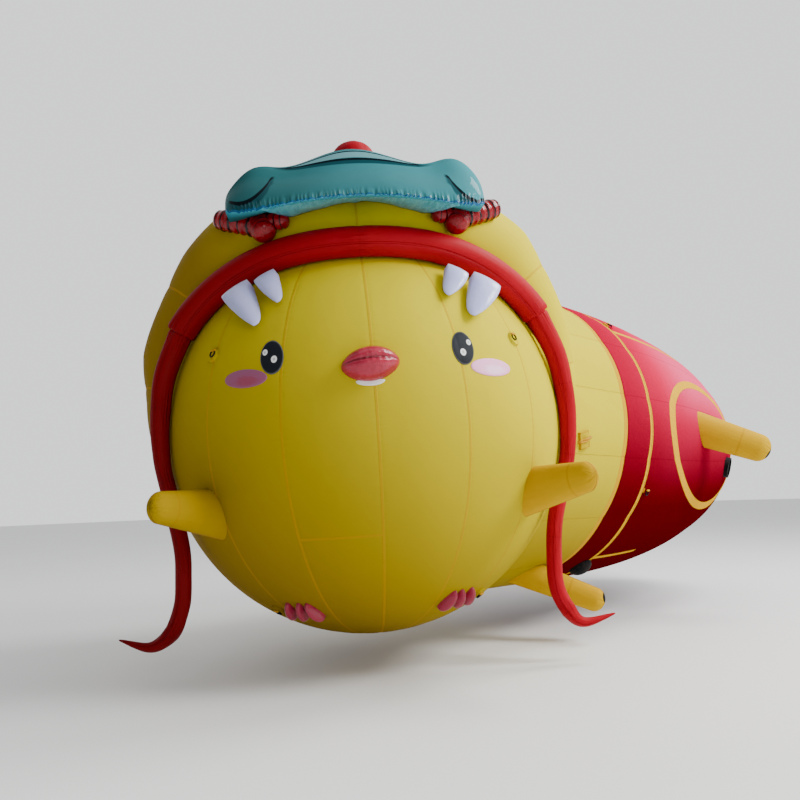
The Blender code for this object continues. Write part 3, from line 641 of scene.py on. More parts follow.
fang_finish = Finish("fang_white_sheet", (("Specular IOR Level", 0.2), ("Coat Weight", 0.25), ("Coat Roughness", 0.12)))
fang_u, fang_v = fang_finish.uv()
fang_spot = fang_finish.point(HEAD_TURN)
fang_edge = (fang_u * 2.0).near().fall(0.010, 0.028) * fang_v.rise(0.0, 0.1)
fang_base = abs(fang_v - 0.045).fall(0.010, 0.022)
fang_soft = fang_finish.noise(fang_spot, 5.0, 3.0)
fang_x, fang_y, fang_z = fang_finish.split(fang_spot)
fang_tone = fang_finish.mix(fang_soft.rise(0.35, 0.65) * 0.5, (0.56, 0.58, 0.92), (0.47, 0.49, 0.84))
# Painted shade: the teeth are painted darker and bluer towards the head frame's -X side.
fang_tone = fang_finish.mix(fang_x.fall(-1.0, 1.1) * 0.55, fang_tone, (0.26, 0.27, 0.42))
fang_tone = fang_finish.mix(fang_edge * 0.7, fang_tone, (0.76, 0.76, 0.94))
fang_tone = fang_finish.mix(fang_base * 0.5, fang_tone, (0.86, 0.86, 0.92))
fang_finish.close(fang_tone, 0.22 + fang_soft * 0.1, fang_soft + fang_edge * 0.6 + fang_base * 0.4, 0.010)

for side, side_name in ((-1, "left"), (1, "right")):
    for name, root, tip, wide, long in FANGS:
        fang = surface(f"fang_tooth_{side_name}_{name}", head(fang_points(root, tip, wide, long, side)), fang_finish)
        carried(fang, "fang_sheet", f"fang_{side_name}_{name}", fill=0.8)


# The snout: a long pillow of glossy teal sheet across the hood, with blunt ends that droop. Its front
# seam is welded and puckered. Nostril lines and a pale band are dyed into the sheet.
SNOUT_CENTRE = (0.0, -0.874, 2.047)
SNOUT_HALF_WIDTH = 1.05
SNOUT_HALF_DEPTH = 0.64
# The first two teal colours are painted shade and painted light for the snout's left and right ends.
TEAL_PAINTED_SHADE = (0.012, 0.070, 0.072)
TEAL_PAINTED_LIGHT = (0.055, 0.26, 0.29)
TEAL_DARK = (0.006, 0.045, 0.055)
TEAL_LINE = (0.002, 0.006, 0.009)
BAND_GREY = (0.11, 0.26, 0.28)
GUSSET_CYAN = (0.045, 0.30, 0.40)
SEAM_BLUE = (0.015, 0.09, 0.20)
NOSTRIL_SHIFT = 0.070
NOSTRIL = ((0.62, 128.0), (0.66, 141.0), (0.71, 152.0), (0.79, 161.0), (0.88, 162.0), (0.97, 154.0))


def snout_points(across, turn):
    """The pillow: across from -1 to 1, and turn in degrees round it, from its back over its top.

    Its depth and height fall to nothing at the ends by a small power, the top bulges near both ends
    and rises to a ridge in the middle of its back, and the whole droops by the square of across, less
    at its front edge. Fine pleats run over the front edge.
    """
    size = np.abs(across)
    blunt = np.maximum(1 - size ** (2 / 0.70), 0.0) ** 0.15
    turn = np.radians(turn)
    forward, upward = np.cos(turn), np.sin(turn)
    right = np.sign(across)
    bump = np.exp(-((size - 0.856 - 0.03 * right) / 0.217) ** 2)
    height = np.where(upward > 0, 0.26 * (1.0 + (0.715 + 0.12 * right) * bump), 0.05)
    lift = ((0.055 - 0.010 * right) * size ** 2 + 0.075 * size ** 8) * np.maximum(-forward, 0.0)
    ridge = 0.178 * np.exp(-(across / 0.389) ** 2) * np.maximum(upward, 0) * (0.5 + 0.5 * forward)
    pleat = 0.0055 * np.sin(across * 150.0 + 3.0 * np.sin(across * 31.0)) * np.exp(-((np.abs(np.degrees(turn)) - 176.0) / 6.0) ** 2)
    y = SNOUT_CENTRE[1] + (SNOUT_HALF_DEPTH + pleat) * blunt * forward
    z = SNOUT_CENTRE[2] + 0.284 * blunt * forward - 0.239 * across ** 2 + height * blunt * upward + ridge + pleat + lift
    return np.stack([SNOUT_HALF_WIDTH * across, y, z], axis=-1)


snout_across, snout_turn = np.meshgrid(np.sin(np.linspace(-np.pi / 2, np.pi / 2, 321)), np.linspace(-180.0, 180.0, 145),
                                       indexing="ij")
snout_uv = (snout_across, snout_turn / 180.0)
snout_finish = Finish("snout_teal_sheet", (("Specular IOR Level", 0.0), ("Coat Roughness", 0.06)))
snout_u, snout_v = snout_finish.uv()
snout_turn_now = snout_v * 180.0
snout_size = abs(snout_u)
snout_spot = snout_finish.point(HEAD_TURN)
snout_soft = snout_finish.noise(snout_spot, 2.2, 3.0)
# The snout runs from painted shade at its left end to painted light at its right, with random patches of tone.
tone = snout_finish.mix(snout_u.rise(-0.9, 0.9) * 0.6 + snout_soft * 0.3, TEAL_PAINTED_SHADE, TEAL_PAINTED_LIGHT)
tone = snout_finish.mix(snout_size.fall(0.35, 0.60) * abs(snout_turn_now - 101.0).fall(9.0, 13.0), tone, BAND_GREY)
for turn_at, bend, half, colour in ((121.0, -40.0, 4.0, TEAL_DARK), (115.5, -38.0, 2.6, TEAL_LINE),
                                    (93.5, 30.0, 2.3, TEAL_LINE)):
    course = snout_u * snout_u * bend + turn_at
    line = abs(snout_turn_now - course).fall(half * 0.7, half * 1.3) * snout_size.fall(0.50, 0.66)
    tone = snout_finish.mix(line, tone, colour)
snout_right = snout_u.rise(-0.3, 0.3)
nostril_place = snout_size - snout_right * NOSTRIL_SHIFT
nostril_turn = snout_finish.node("ShaderNodeFloatCurve", {}, {"Value": nostril_place})
curve = nostril_turn.end.node.mapping.curves[0]
curve.points[0].location = (0.0, 128.0 / 180.0)
curve.points[1].location = (1.0, 150.0 / 180.0)
for place, turn_at in NOSTRIL:
    curve.points.new(place, turn_at / 180.0)
nostril_turn.end.node.mapping.update()
nostril = snout_turn_now - nostril_turn * 180.0 - 6.0 - snout_right * 7.0
within = nostril_place.rise(0.60, 0.63) * nostril_place.fall(0.93, 0.97)
tone = snout_finish.mix((nostril.rise(-1.0, 1.0) * nostril.fall(10.0, 15.0)) * within * 0.85, tone, TEAL_DARK)
tone = snout_finish.mix(abs(nostril).fall(2.0, 3.4) * within, tone, TEAL_LINE)
pleat_wave = (snout_u * 34.0 + snout_soft * 5.0).near()
front = snout_v.rise(0.93, 0.975) + snout_v.fall(-0.98, -0.93)
# Pale glints on the front pleats: a painted highlight.
painted_glint = front * pleat_wave.rise(0.36, 0.49) * snout_soft.rise(0.42, 0.60)
tone = snout_finish.mix(painted_glint * 0.45, tone, (0.34, 0.55, 0.58))
tone = snout_finish.mix(snout_v.fall(-0.97, -0.60) * 0.9, tone, GUSSET_CYAN)
tone = snout_finish.mix(snout_v.rise(0.978, 0.990), tone, SEAM_BLUE)
tone = snout_finish.mix(snout_v.fall(-0.990, -0.978), tone, SEAM_BLUE)
snout_height = snout_soft * 0.8 + front * pleat_wave * 0.8
snout_finish.close(tone, 0.16 + snout_soft * 0.12, snout_height, 0.010)
snout_gloss = snout_turn_now.rise(128.0, 155.0) * 0.16 + 0.01
snout_finish.put(snout_finish.shader.inputs["Coat Weight"], snout_gloss)
snout = surface("snout_pillow", head(snout_points(snout_across, snout_turn)), snout_finish, snout_uv)
carried(snout, "snout_sheet", "snout", fill=0.9)


# The gusset: a strip of paler teal sheet that joins the snout's front seam to the hood below it, and
# is sewn to the hood along a line that arches up in the middle.
# Columns: roll on the hood in degrees, along on the hood.
GUSSET_FOOT = np.array(((-22.0, 0.021), (-17.25, 0.020), (-8.0, 0.030), (-2.75, 0.042), (1.25, 0.047),
                        (6.25, 0.037), (11.5, 0.026), (19.5, 0.018), (23.5, 0.018)))
GUSSET_SPAN = (-0.70, 0.76)

span, down = np.meshgrid(np.linspace(0.0, 1.0, 97), np.linspace(0.0, 1.0, 13), indexing="ij")
gusset_roll = GUSSET_FOOT[0, 0] + (GUSSET_FOOT[-1, 0] - GUSSET_FOOT[0, 0]) * span
gusset_foot = hood_points(gusset_roll, np.interp(gusset_roll, *GUSSET_FOOT.T))
gusset_top = snout_points(GUSSET_SPAN[0] + (GUSSET_SPAN[1] - GUSSET_SPAN[0]) * span, 0 * span + 180.0)
gusset_taper = np.clip(np.minimum(span, 1.0 - span) / 0.13, 0.02, 1.0) ** 0.7
gusset_points = gusset_top + (gusset_foot - gusset_top) * (down * gusset_taper)[..., None]
gusset_points[..., 2] -= 0.012 * np.sin(np.pi * down)
gusset_finish = Finish("gusset_cyan_sheet", (("Specular IOR Level", 0.10), ("Coat Weight", 0.15), ("Coat Roughness", 0.08)))
gusset_u, gusset_v = gusset_finish.uv()
gusset_soft = gusset_finish.noise(gusset_finish.join(gusset_v * 30.0, gusset_u * 2.0), 1.5, 4.0, 0.4)
gusset_tone = gusset_finish.mix(gusset_soft.rise(0.35, 0.65), GUSSET_CYAN, (0.10, 0.42, 0.50))
gusset_tone = gusset_finish.mix(gusset_u.rise(0.86, 0.94), gusset_tone, (0.010, 0.14, 0.34))
gusset_finish.close(gusset_tone, 0.25 + gusset_soft * 0.1, gusset_soft, 0.012)
gusset = surface("snout_gusset", head(gusset_points), gusset_finish, middle=(0.0, 0.0, 9.0))
gusset_wall = gusset.modifiers.new("sheet", "SOLIDIFY")
gusset_wall.thickness = 0.003
gusset_wall.offset = -1.0
carried(gusset, "snout_sheet")


# The knob: a red dome that stands on the hood behind the snout, sewn from six petals of the same
# nylon as the lip and closed at the top.
def finger(foot, tip, radius, tip_radius, side, rows=49, columns=41, flat=1.0, ribs=0, rib_depth=0.0, petals=0):
    """An air-filled finger from foot to tip: a tube whose radius runs evenly and rounds off.

    Ribs are waves along it and petals are lobes round it. Flat scales its thickness across side.
    """
    foot, tip = np.array(foot, dtype=float), np.array(tip, dtype=float)
    length = np.linalg.norm(tip - foot)
    along = 1 - (1 - np.linspace(0.0, 1.0, rows)) ** 1.6
    line = foot + (tip - foot) * along[:, None]
    radii = (radius + (tip_radius - radius) * along) * ends(along, 0.0, 0.85 * tip_radius / length)
    turn = np.linspace(0.0, 2 * np.pi, columns)
    lobes = 1.0 - rib_depth * np.abs(np.cos(np.pi * ribs * along[:, None])) ** 3 if ribs else 1.0
    if petals:
        lobes = lobes * (1 - 0.03 * np.abs(np.cos(petals * turn / 2)) ** 8)
    grid = tube(line, radii[:, None] * lobes * np.ones(columns), side, columns)
    axis = (tip - foot) / length
    across = np.cross(axis, np.asarray(side) - axis * (axis @ np.asarray(side)))
    across /= np.linalg.norm(across)
    grid = grid - across * ((grid - line[:, None]) @ across)[..., None] * (1 - flat)
    start = np.repeat(line[:1, None], columns, axis=1)
    return np.concatenate([start, grid])


knob_length = 0.60
knob_foot = np.array((0.045, -0.20, 2.16))
knob = surface("knob_dome", head(finger(knob_foot, knob_foot + (0.0, 0.0, knob_length), 0.215, 0.205, (1.0, 0.0, 0.0), petals=6)),
               red_cloth("knob_red_cloth", knob_length, (knob_length,)))
carried(knob, "red_cloth", "crown_knob", fill=0.9)


# The curls: three fat fingers of glossy crimson sheet under each end of the snout. Welds across them
# leave deep ribs with dark lines, and the tips are round.
CRIMSON = (0.22, 0.001, 0.005)
CURL_SHIFT = 0.035
# Columns: name, the root's x, y, z, the middle of the tip's x, y, z, radius, number of ribs.
CURLS = (("middle", (0.84, -0.88, 1.80), (0.80, -1.05, 1.675), 0.115, 5),
         ("outer", (0.86, -0.98, 1.73), (1.13, -0.85, 1.83), 0.100, 6),
         ("inner", (0.84, -1.00, 1.75), (0.66, -1.085, 1.73), 0.080, 5))

curl_finishes = {}
for count in (5, 6):
    finish = Finish(f"curl_crimson_sheet_{count}", (("Specular IOR Level", 0.2), ("Coat Weight", 0.26), ("Coat Roughness", 0.05)))
    u, v = finish.uv()
    soft = finish.noise(finish.join(u * 9.0, v * 3.0), 1.6, 3.0, 0.5)
    groove = (v * float(count) + soft * 0.30).near().rise(0.36, 0.42) * v.fall(0.74, 0.80)
    tone = finish.mix(soft.rise(0.3, 0.7) * 0.5, CRIMSON, (0.32, 0.002, 0.010))
    tone = finish.mix(groove, tone, (0.014, 0.003, 0.004))
    curl_finishes[count] = finish.close(tone, 0.14 + soft * 0.1, soft, 0.012)

for side, side_name in ((-1, "left"), (1, "right")):
    for name, root, tip, radius, count in CURLS:
        foot, end = (np.array(point) * (side, 1.0, 1.0) + (CURL_SHIFT, 0.0, 0.0) for point in (root, tip))
        end = end + (end - foot) / np.linalg.norm(end - foot) * radius
        points = finger(foot, end, radius, radius * 0.9, (0.0, 0.0, 1.0), rows=81, ribs=count, rib_depth=0.11)
        curl = surface(f"curl_finger_{side_name}_{name}", head(points), curl_finishes[count])
        carried(curl, "curl_sheet", f"curl_{side_name}_{name}", fill=0.9)


# The beak: two glossy red sheets welded round their edge and at the mouth line, filled with air into
# a lens with pointed ends, and sewn to the ball.
BEAK_PLACE = (0.0, 13.5)
BEAK_HALF = (0.215, 0.115, 0.16)
PINK = (0.33, 0.012, 0.034)

share, turn = np.meshgrid(np.linspace(-1.0, 1.0, 61), np.linspace(0.0, 360.0, 61), indexing="ij")
pinch = np.maximum(1 - share ** 2, 0.0) ** 0.62
crease = 1 - 0.16 * np.exp(-(np.sin(np.radians(turn)) / 0.13) ** 2) * (np.cos(np.radians(turn)) > 0)
ripple = 0.012 * np.sin(share * 30.0) * np.exp(-(np.sin(np.radians(turn)) / 0.3) ** 2)
beak_right = BEAK_HALF[0] * share
beak_up = BEAK_HALF[1] * pinch * np.sin(np.radians(turn)) * 1.12 - 0.012 * share
beak_out = BEAK_HALF[2] * pinch * np.cos(np.radians(turn)) * (crease + ripple)
beak_place = on_ball(*BEAK_PLACE)
beak_forward = beak_place / np.linalg.norm(beak_place)
beak_above = np.cross(beak_forward, (-1.0, 0.0, 0.0))
beak_points = (beak_place + beak_right[..., None] * np.array((1.0, 0.0, 0.0)) + beak_up[..., None] * beak_above
               + beak_out[..., None] * beak_forward)
beak_finish = Finish("beak_red_sheet", (("Specular IOR Level", 0.2), ("Coat Weight", 0.30), ("Coat Roughness", 0.06)))
beak_u, beak_v = beak_finish.uv()
beak_soft = beak_finish.noise(beak_finish.join(beak_u * 5.0, beak_v * 5.0), 1.5, 3.0)
beak_line = beak_u.near().fall(0.008, 0.016)
beak_tone = beak_finish.mix(beak_soft.rise(0.3, 0.7) * 0.5, PINK, (0.42, 0.026, 0.060))
beak_tone = beak_finish.mix(beak_line * 0.6, beak_tone, (0.10, 0.004, 0.010))
beak_finish.close(beak_tone, 0.18 + beak_soft * 0.1, beak_soft, 0.012)
beak = surface("beak_lens", head(beak_points), beak_finish)
carried(beak, "beak_sheet", "beak", fill=0.9)


# The toes: six small pillows of glossy pink sheet, three on each side, sewn by their backs low on
# the ball. The middle one points straight down and the others lean.
TOE_AZIMUTH = 34.5
TOE_ELEVATION = -52.0
TOE_SPREAD = 6.0
TOE_LEANS = (15.0, -12.0, -18.0)
TOE_HALF = (0.038, 0.120, 0.078)


def egg(place, out, lean, half, pinch=0.0, rows=25, columns=33):
    """An oval pillow: half sizes across, along lean and out from its place, narrower at its ends."""
    out = out / np.linalg.norm(out)
    long = lean - out * (lean @ out)
    long /= np.linalg.norm(long)
    wide = np.cross(out, long)
    share, turn = np.meshgrid(np.linspace(-90.0, 90.0, rows), np.linspace(0.0, 360.0, columns), indexing="ij")
    share, turn = np.radians(share), np.radians(turn)
    around = np.cos(share) ** (1 - pinch)
    return (place + wide * (half[0] * around * np.cos(turn))[..., None] + long * (half[1] * np.sin(share))[..., None]
            + out * (half[2] * around * np.sin(turn))[..., None])


toe_finish = Finish("toe_pink_sheet", (("Specular IOR Level", 0.2), ("Coat Weight", 0.3), ("Coat Roughness", 0.12)))
toe_u, toe_v = toe_finish.uv()
toe_soft = toe_finish.noise(toe_finish.join(toe_u * 10.0, toe_v * 2.0), 1.5, 3.0)
toe_seam = (toe_u * 2.0 + 0.5).near().fall(0.015, 0.035)
toe_tone = toe_finish.mix(toe_soft * 0.5, (0.30, 0.014, 0.045), (0.38, 0.028, 0.070))
toe_finish.close(toe_finish.mix(toe_seam * 0.7, toe_tone, (0.30, 0.02, 0.04)), 0.24 + toe_soft * 0.1, toe_soft - toe_seam * 0.5, 0.008)
for side, side_name in ((-1, "left"), (1, "right")):
    for number, spread in enumerate((-1, 0, 1)):
        azimuth, elevation = np.radians(side * (TOE_AZIMUTH + spread * TOE_SPREAD)), np.radians(TOE_ELEVATION)
        place = on_ball(np.degrees(azimuth), TOE_ELEVATION)
        down = np.array([np.sin(azimuth) * np.sin(elevation), -np.cos(azimuth) * np.sin(elevation), -np.cos(elevation)])
        inward = np.array([np.cos(azimuth), np.sin(azimuth), 0.0]) * -side
        lean = down + inward * np.tan(np.radians(TOE_LEANS[number]))
        toe = surface(f"toe_pillow_{side_name}_{number + 1}", head(egg(place, place, lean, TOE_HALF, 0.15)), toe_finish)
        carried(toe, "toe_sheet", f"toe_{side_name}_{number + 1}", fill=0.9)


# The wings: two flat mitts of orange-yellow nylon on the ball's sides. A seam runs round the middle
# of each to a gathered tip, and short seams shape it at the root.
ORANGE = (0.52, 0.295, 0.001)
ORANGE_PALE = (0.58, 0.37, 0.002)
# The orange cloth's painted shade, for its dim side.
ORANGE_PAINTED_SHADE = (0.27, 0.18, 0.001)
WING_LENGTH = 0.86
WING_ROOT = 0.210
WING_TIP = 0.105
WING_INSIDE = 0.20
WING_END = (1.60, -1.68, -0.488)


def orange_cloth(name, length, cross, pad=None):
    """Orange-yellow nylon on a finger: seams along it, gathered at its tip, with small folds.

    The UV map's first number goes round the piece and its second along it. One seam runs round it,
    cross metres from its foot. A pad is the middle and the reach of a black patch beside the tip, and
    it shows on both sides of the figure.
    """
    finish = Finish(name, (("Specular IOR Level", 0.02),))
    u, v = finish.uv()
    spot = finish.point()
    seam = (u * 2.0).near().fall(0.012, 0.032)
    pleats = finish.noise(finish.join(u * 18.0, v * length * 2.5), 1.4, 3.0, 0.5)
    near_tip = v.rise(1.0 - 0.22 / length, 1.0)
    patchy = finish.noise(spot, 3.0, 4.0)
    x, y, z = finish.split(finish.point(HEAD_TURN))
    tone = finish.mix(patchy.rise(0.35, 0.7) * 0.4, ORANGE, ORANGE_PALE)
    # Painted shade: the orange cloth is painted darker towards the head frame's -X side.
    tone = finish.mix((x * -0.5).rise(-0.7, 1.1) * 0.85, tone, ORANGE_PAINTED_SHADE)
    tone = finish.mix(seam * 0.65, tone, (0.30, 0.10, 0.001))
    tone = finish.mix(abs(v * length - cross).fall(0.006, 0.012) * 0.25, tone, (0.30, 0.10, 0.001))
    if pad is not None:
        (pad_x, pad_y, pad_z), pad_reach = pad
        across, forward, up = finish.split(spot)
        away = ((abs(across) - pad_x) ** 2.0 + (forward - pad_y) ** 2.0 + (up - pad_z) ** 2.0) ** 0.5
        tone = finish.mix(away.fall(pad_reach * 0.95, pad_reach), tone, (0.010, 0.010, 0.010))
    height = weave(finish, spot) * 0.4 + pleats * (0.35 + near_tip * 1.6) - seam * 0.5
    return finish.close(tone, 0.5 + patchy * 0.12, height, 0.012)


for side, name in ((-1, "left"), (1, "right")):
    root = on_ball(side * 48.0, -19.0)
    root = root / np.linalg.norm(root) * BALL_RADIUS
    tip = np.array([side * WING_END[0], WING_END[1], WING_END[2]])
    outward = (tip - root) / np.linalg.norm(tip - root)
    foot = root - outward * WING_INSIDE
    points = finger(foot, foot + outward * WING_LENGTH, WING_ROOT, WING_TIP, (0.0, 0.0, 1.0), rows=61, flat=0.72)
    wing = surface(f"wing_mitt_{name}", head(points), orange_cloth(f"wing_{name}_orange_cloth", WING_LENGTH, 0.52))
    carried(wing, "leg_cloth", f"wing_{name}", fill=0.9)


# The long body: three sewn sections of nylon, yellow behind the head and red to the rounded tail. The
# sections meet on slanted rings, and yellow tape is sewn on in rings, lengthwise lines and an oval.
BODY_DROOP = 1.15
BODY_TURN = np.array(Matrix.Rotation(np.radians(-BODY_DROOP), 3, "X"))
BODY_SHIFT = np.array((0.0, 0.0, 0.05))
BODY_RADIUS = 1.61
BODY_SHOULDER_Y = 2.09
BODY_TAPER = 4.66
BODY_FULLNESS = 2.23
BODY_END_Y = BODY_SHOULDER_Y + BODY_TAPER
NECK_START_Y = 0.60
YELLOW_END_Y = 2.00
RED_BAND_END_Y = 2.50
RING_SLANT = 0.17
BODY_SEAM = 11.5
BODY_RED = (0.52, 0.005, 0.045)
BODY_RED_PALE = (0.62, 0.016, 0.085)
# Painted shade for the red body's underside, and the colour of its seams.
BODY_RED_PAINTED_SHADE_AND_SEAM = (0.085, 0.0005, 0.002)
BODY_RED_SUNLIT = (0.85, 0.13, 0.26)
BODY_RED_FRONT = (0.34, 0.002, 0.026)
TAPE_YELLOW = (0.62, 0.33, 0.010)
OVAL_CENTRE = (4.33, -7.0)
OVAL_RISE = 0.07
OVAL_LEAN = 0.12
OVAL_HALF = (1.31, 0.74)


def body(points):
    """Points of the body frame, placed in the part's frame."""
    return points @ BODY_TURN.T + BODY_SHIFT


def body_radius(y):
    """The body is a cylinder up to its shoulder, and past it a superellipse to the tail."""
    along = np.clip((y - BODY_SHOULDER_Y) / BODY_TAPER, 0.0, 1.0)
    return BODY_RADIUS * (1.0 - along ** BODY_FULLNESS) ** (1.0 / BODY_FULLNESS)


def on_body(y, angle, lift=0.0):
    """Points over the body: y, and degrees round the axis from +X towards +Z."""
    share = (angle - BODY_SEAM) * GORES / 360.0
    puff = 0.010 * (np.abs(np.sin(np.pi * share)) ** 0.55 - 0.72)
    reach = np.maximum(body_radius(y), 0.0)
    reach = reach + (puff + lift) * np.minimum(reach / 0.4, 1.0)
    turn = np.radians(angle)
    return np.stack([reach * np.cos(turn), y + 0 * turn, reach * np.sin(turn)], axis=-1)


def slanted(y, angle):
    """A ring round the body that leans back towards the top."""
    return y + RING_SLANT * np.sin(np.radians(angle))


def body_coordinates(finish):
    """Object coordinates, y, the angle of either side in degrees, slanted y, radius, height, seams.

    The angle is mirrored, so both sides are sewn alike, and the height is a share of the radius.
    """
    spot = finish.point(BODY_TURN, tuple(BODY_SHIFT))
    x, y, z = finish.split(spot)
    ring = (x * x + z * z) ** 0.5
    share = (z.angle_to(x) - BODY_SEAM) * (GORES / 360.0)
    height = z / ring
    return spot, y, z.angle_to(abs(x)), y - height * RING_SLANT, ring, height, share


yellow_body_finish = Finish("body_yellow_cloth", (("Specular IOR Level", 0.02),))
spot, y, angle, lean, ring, height, share = body_coordinates(yellow_body_finish)
from_seam = share.near() * ring * (2 * np.pi / GORES)
tape = from_seam.fall(0.005, 0.012)
hem = lean.rise(YELLOW_END_Y - 0.070, YELLOW_END_Y - 0.064)
stitches = abs(abs(lean - (YELLOW_END_Y - 0.034)) - 0.018).fall(0.002, 0.004)
patchy = yellow_body_finish.noise(spot, 1.1, 4.0)
tone = yellow_body_finish.mix(patchy.rise(0.3, 0.7) * 0.35, YELLOW, YELLOW_PALE)
# Painted shade: the body's yellow section is painted darker towards its underside.
tone = yellow_body_finish.mix(height.fall(-0.97, 0.09) * 0.8, tone, YELLOW_PAINTED_SHADE)
tone = yellow_body_finish.mix(tape * 0.1, tone, YELLOW_SEAM)
tone = yellow_body_finish.mix(hem * 0.85, tone, (0.56, 0.27, 0.002))
tone = yellow_body_finish.mix(stitches * hem * 0.4, tone, (0.34, 0.16, 0.004))
folds = yellow_body_finish.noise(yellow_body_finish.join(y * 3.0, angle * 0.16), 1.0, 3.0) * lean.rise(1.6, 2.0)
yellow_body_finish.close(tone, 0.52 + patchy * 0.12, weave(yellow_body_finish, spot) + folds - tape * 0.4 + hem * 0.3, 0.012)


def red_body_cloth(name, oval):
    """Red nylon with sewn yellow tape: the slanted ring, and on the tail the lines and the oval.

    The oval is where a point's y and its distance round the body, in metres, lie on an ellipse. The
    cloth is gathered beside the tape.
    """
    finish = Finish(name, (("Specular IOR Level", 0.0),))
    spot, y, angle, lean, ring, height, share = body_coordinates(finish)
    from_seam = share.near() * ring * (2 * np.pi / GORES)
    tape = abs(lean - RED_BAND_END_Y).fall(0.026, 0.034)
    beside = abs(lean - RED_BAND_END_Y).fall(0.02, 0.20)
    if oval:
        round_body = (angle - OVAL_CENTRE[1]) * ring * (np.pi / 180.0) - OVAL_RISE + (y - OVAL_CENTRE[0]) * OVAL_LEAN
        along = (y - OVAL_CENTRE[0]) / OVAL_HALF[0]
        away = (along ** 2.0 + (round_body / OVAL_HALF[1]) ** 2.0) ** 0.5
        half = 0.040 + (along + 1.0).rise(0.1, 1.2) * 0.012
        off = abs(away - 1.0) * OVAL_HALF[1]
        tape = tape.maths("MAXIMUM", tape, (off - half).fall(-0.004, 0.004))
        beside = beside.maths("MAXIMUM", beside, off.fall(0.02, 0.18))
        for line, last in ((44.0, 4.35), (-55.0, 3.25)):
            strip = abs(angle - line) * ring * (np.pi / 180.0)
            run = y.rise(2.2, 2.3) * y.fall(last, last + 0.05)
            tape = tape.maths("MAXIMUM", tape, strip.fall(0.022, 0.030) * run)
    folds = finish.noise(finish.join(y * 14.0, angle * 0.34), 1.0, 3.0, 0.6)
    patchy = finish.noise(spot, 1.3, 4.0)
    tone = finish.mix(patchy.rise(0.3, 0.7) * 0.35, BODY_RED, BODY_RED_PALE)
    tone = finish.mix(y.fall(2.1, 3.3), tone, BODY_RED_FRONT)
    tone = finish.mix(abs(height - 0.5).fall(0.05, 0.5) * y.rise(2.8, 4.0) * 0.5, tone, BODY_RED_SUNLIT)
    # Painted shade: the red cloth is painted darker towards its underside. The same dark red marks its seams below.
    tone = finish.mix(height.fall(-0.56, 0.41), tone, BODY_RED_PAINTED_SHADE_AND_SEAM)
    tone = finish.mix(from_seam.fall(0.003, 0.008) * 0.25, tone, BODY_RED_PAINTED_SHADE_AND_SEAM)
    tone = finish.mix(tape, tone, TAPE_YELLOW)
    relief = weave(finish, spot) + folds * (0.15 + beside) + tape * 0.4
    return finish.close(tone, 0.44 + patchy * 0.12, relief, 0.014)


# Columns: name, the first and last y, the CAD node, slot, finish. Each end is slanted, but not at the neck or the tail.
BODY_SECTIONS = (
    ("body_skin_yellow", NECK_START_Y, YELLOW_END_Y, "body_yellow_section", "yellow_cloth", yellow_body_finish),
    ("body_skin_band", YELLOW_END_Y, RED_BAND_END_Y, "body_red_band", "body_red_cloth",
     red_body_cloth("body_band_red_cloth", False)),
    ("body_skin_rear", RED_BAND_END_Y, BODY_END_Y, "body_red_rear", "body_red_cloth",
     red_body_cloth("body_rear_red_cloth", True)))

for name, start, end, node, slot, finish in BODY_SECTIONS:
    count = 121 if end == BODY_END_Y else 17
    share, angle = np.meshgrid(np.sin(np.linspace(0.0, np.pi / 2, count)), np.linspace(-180.0, 180.0, GORES * 12 + 1), indexing="ij")
    first = start if start == NECK_START_Y else slanted(start, angle)
    last = end if end == BODY_END_Y else slanted(end, angle)
    y = first + (last - first) * share
    skin = surface(name, body(on_body(y, angle)), finish, (angle / 360.0, y), middle=(0.0, 2.0, 0.0))
    wall = skin.modifiers.new("fabric", "SOLIDIFY")
    wall.thickness = FABRIC
    wall.offset = -1.0
    carried(skin, slot, node)


# The legs: four stub legs of orange-yellow nylon, sewn to the body by their wide ends, with a seam
# down each side and a black pad on the tip.
LEG_INSIDE = 0.25
LEG_LENGTH = 0.9
# Columns: name, y and angle of the root, tip x, y, z, root radius, tip radius, the pad's offset, its reach.
LEGS = (("hind_leg", 3.95, 2.5, 2.14, 4.22, -0.21, 0.205, 0.150, (0.010, 0.0, -0.056), 0.085),
        ("front_leg", 1.42, -61.5, 1.40, 1.75, -1.68, 0.150, 0.108, (0.03, 0.0, 0.055), 0.056))

for name, y, angle, tip_x, tip_y, tip_z, radius, tip_radius, pad_offset, pad_reach in LEGS:
    pad_place = body(np.array([tip_x, tip_y, tip_z]) + pad_offset)
    leg_finish = orange_cloth(f"{name}_orange_cloth", LEG_LENGTH, 0.45, (pad_place, pad_reach))
    for side, side_name in ((1, "right"), (-1, "left")):
        reach = body_radius(np.array(y))
        turn = np.radians(angle)
        root = np.array([side * reach * np.cos(turn), y, reach * np.sin(turn)])
        tip = np.array([side * tip_x, tip_y, tip_z])
        outward = (tip - root) / np.linalg.norm(tip - root)
        foot = root - outward * LEG_INSIDE
        points = finger(foot, tip, radius, tip_radius, (0.0, 0.0, 1.0), rows=61, flat=0.85)
        leg = surface(f"{name}_skin_{side_name}", body(points), leg_finish)
        carried(leg, "leg_cloth", f"{name}_{side_name}", fill=0.95)


# The small fittings: the inlet's cap and the belly valve are moulded black rubber, the tie patches
# are round doublers of the skin's own cloth, and the flank tab is a folded square of cloth.
rubber_finish = Finish("black_rubber", (("Specular IOR Level", 0.06),))
rubber_soft = rubber_finish.noise(rubber_finish.point(), 9.0, 5.0)
rubber_tone = rubber_finish.mix(rubber_soft.rise(0.45, 0.75) * 0.5, (0.006, 0.006, 0.007), (0.045, 0.030, 0.020))
rubber_finish.close(rubber_tone, 0.45 + rubber_soft * 0.3, rubber_soft, 0.004)
body_rear_finish = BODY_SECTIONS[-1][-1]
for node in ("inlet_cap", "belly_valve"):
    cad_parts[node].data.materials[0] = rubber_finish.material
TAB_PLACE = (1.20, -6.1)
TAB_HALF = (0.072, 0.078)
TAB_TURN = 14.0


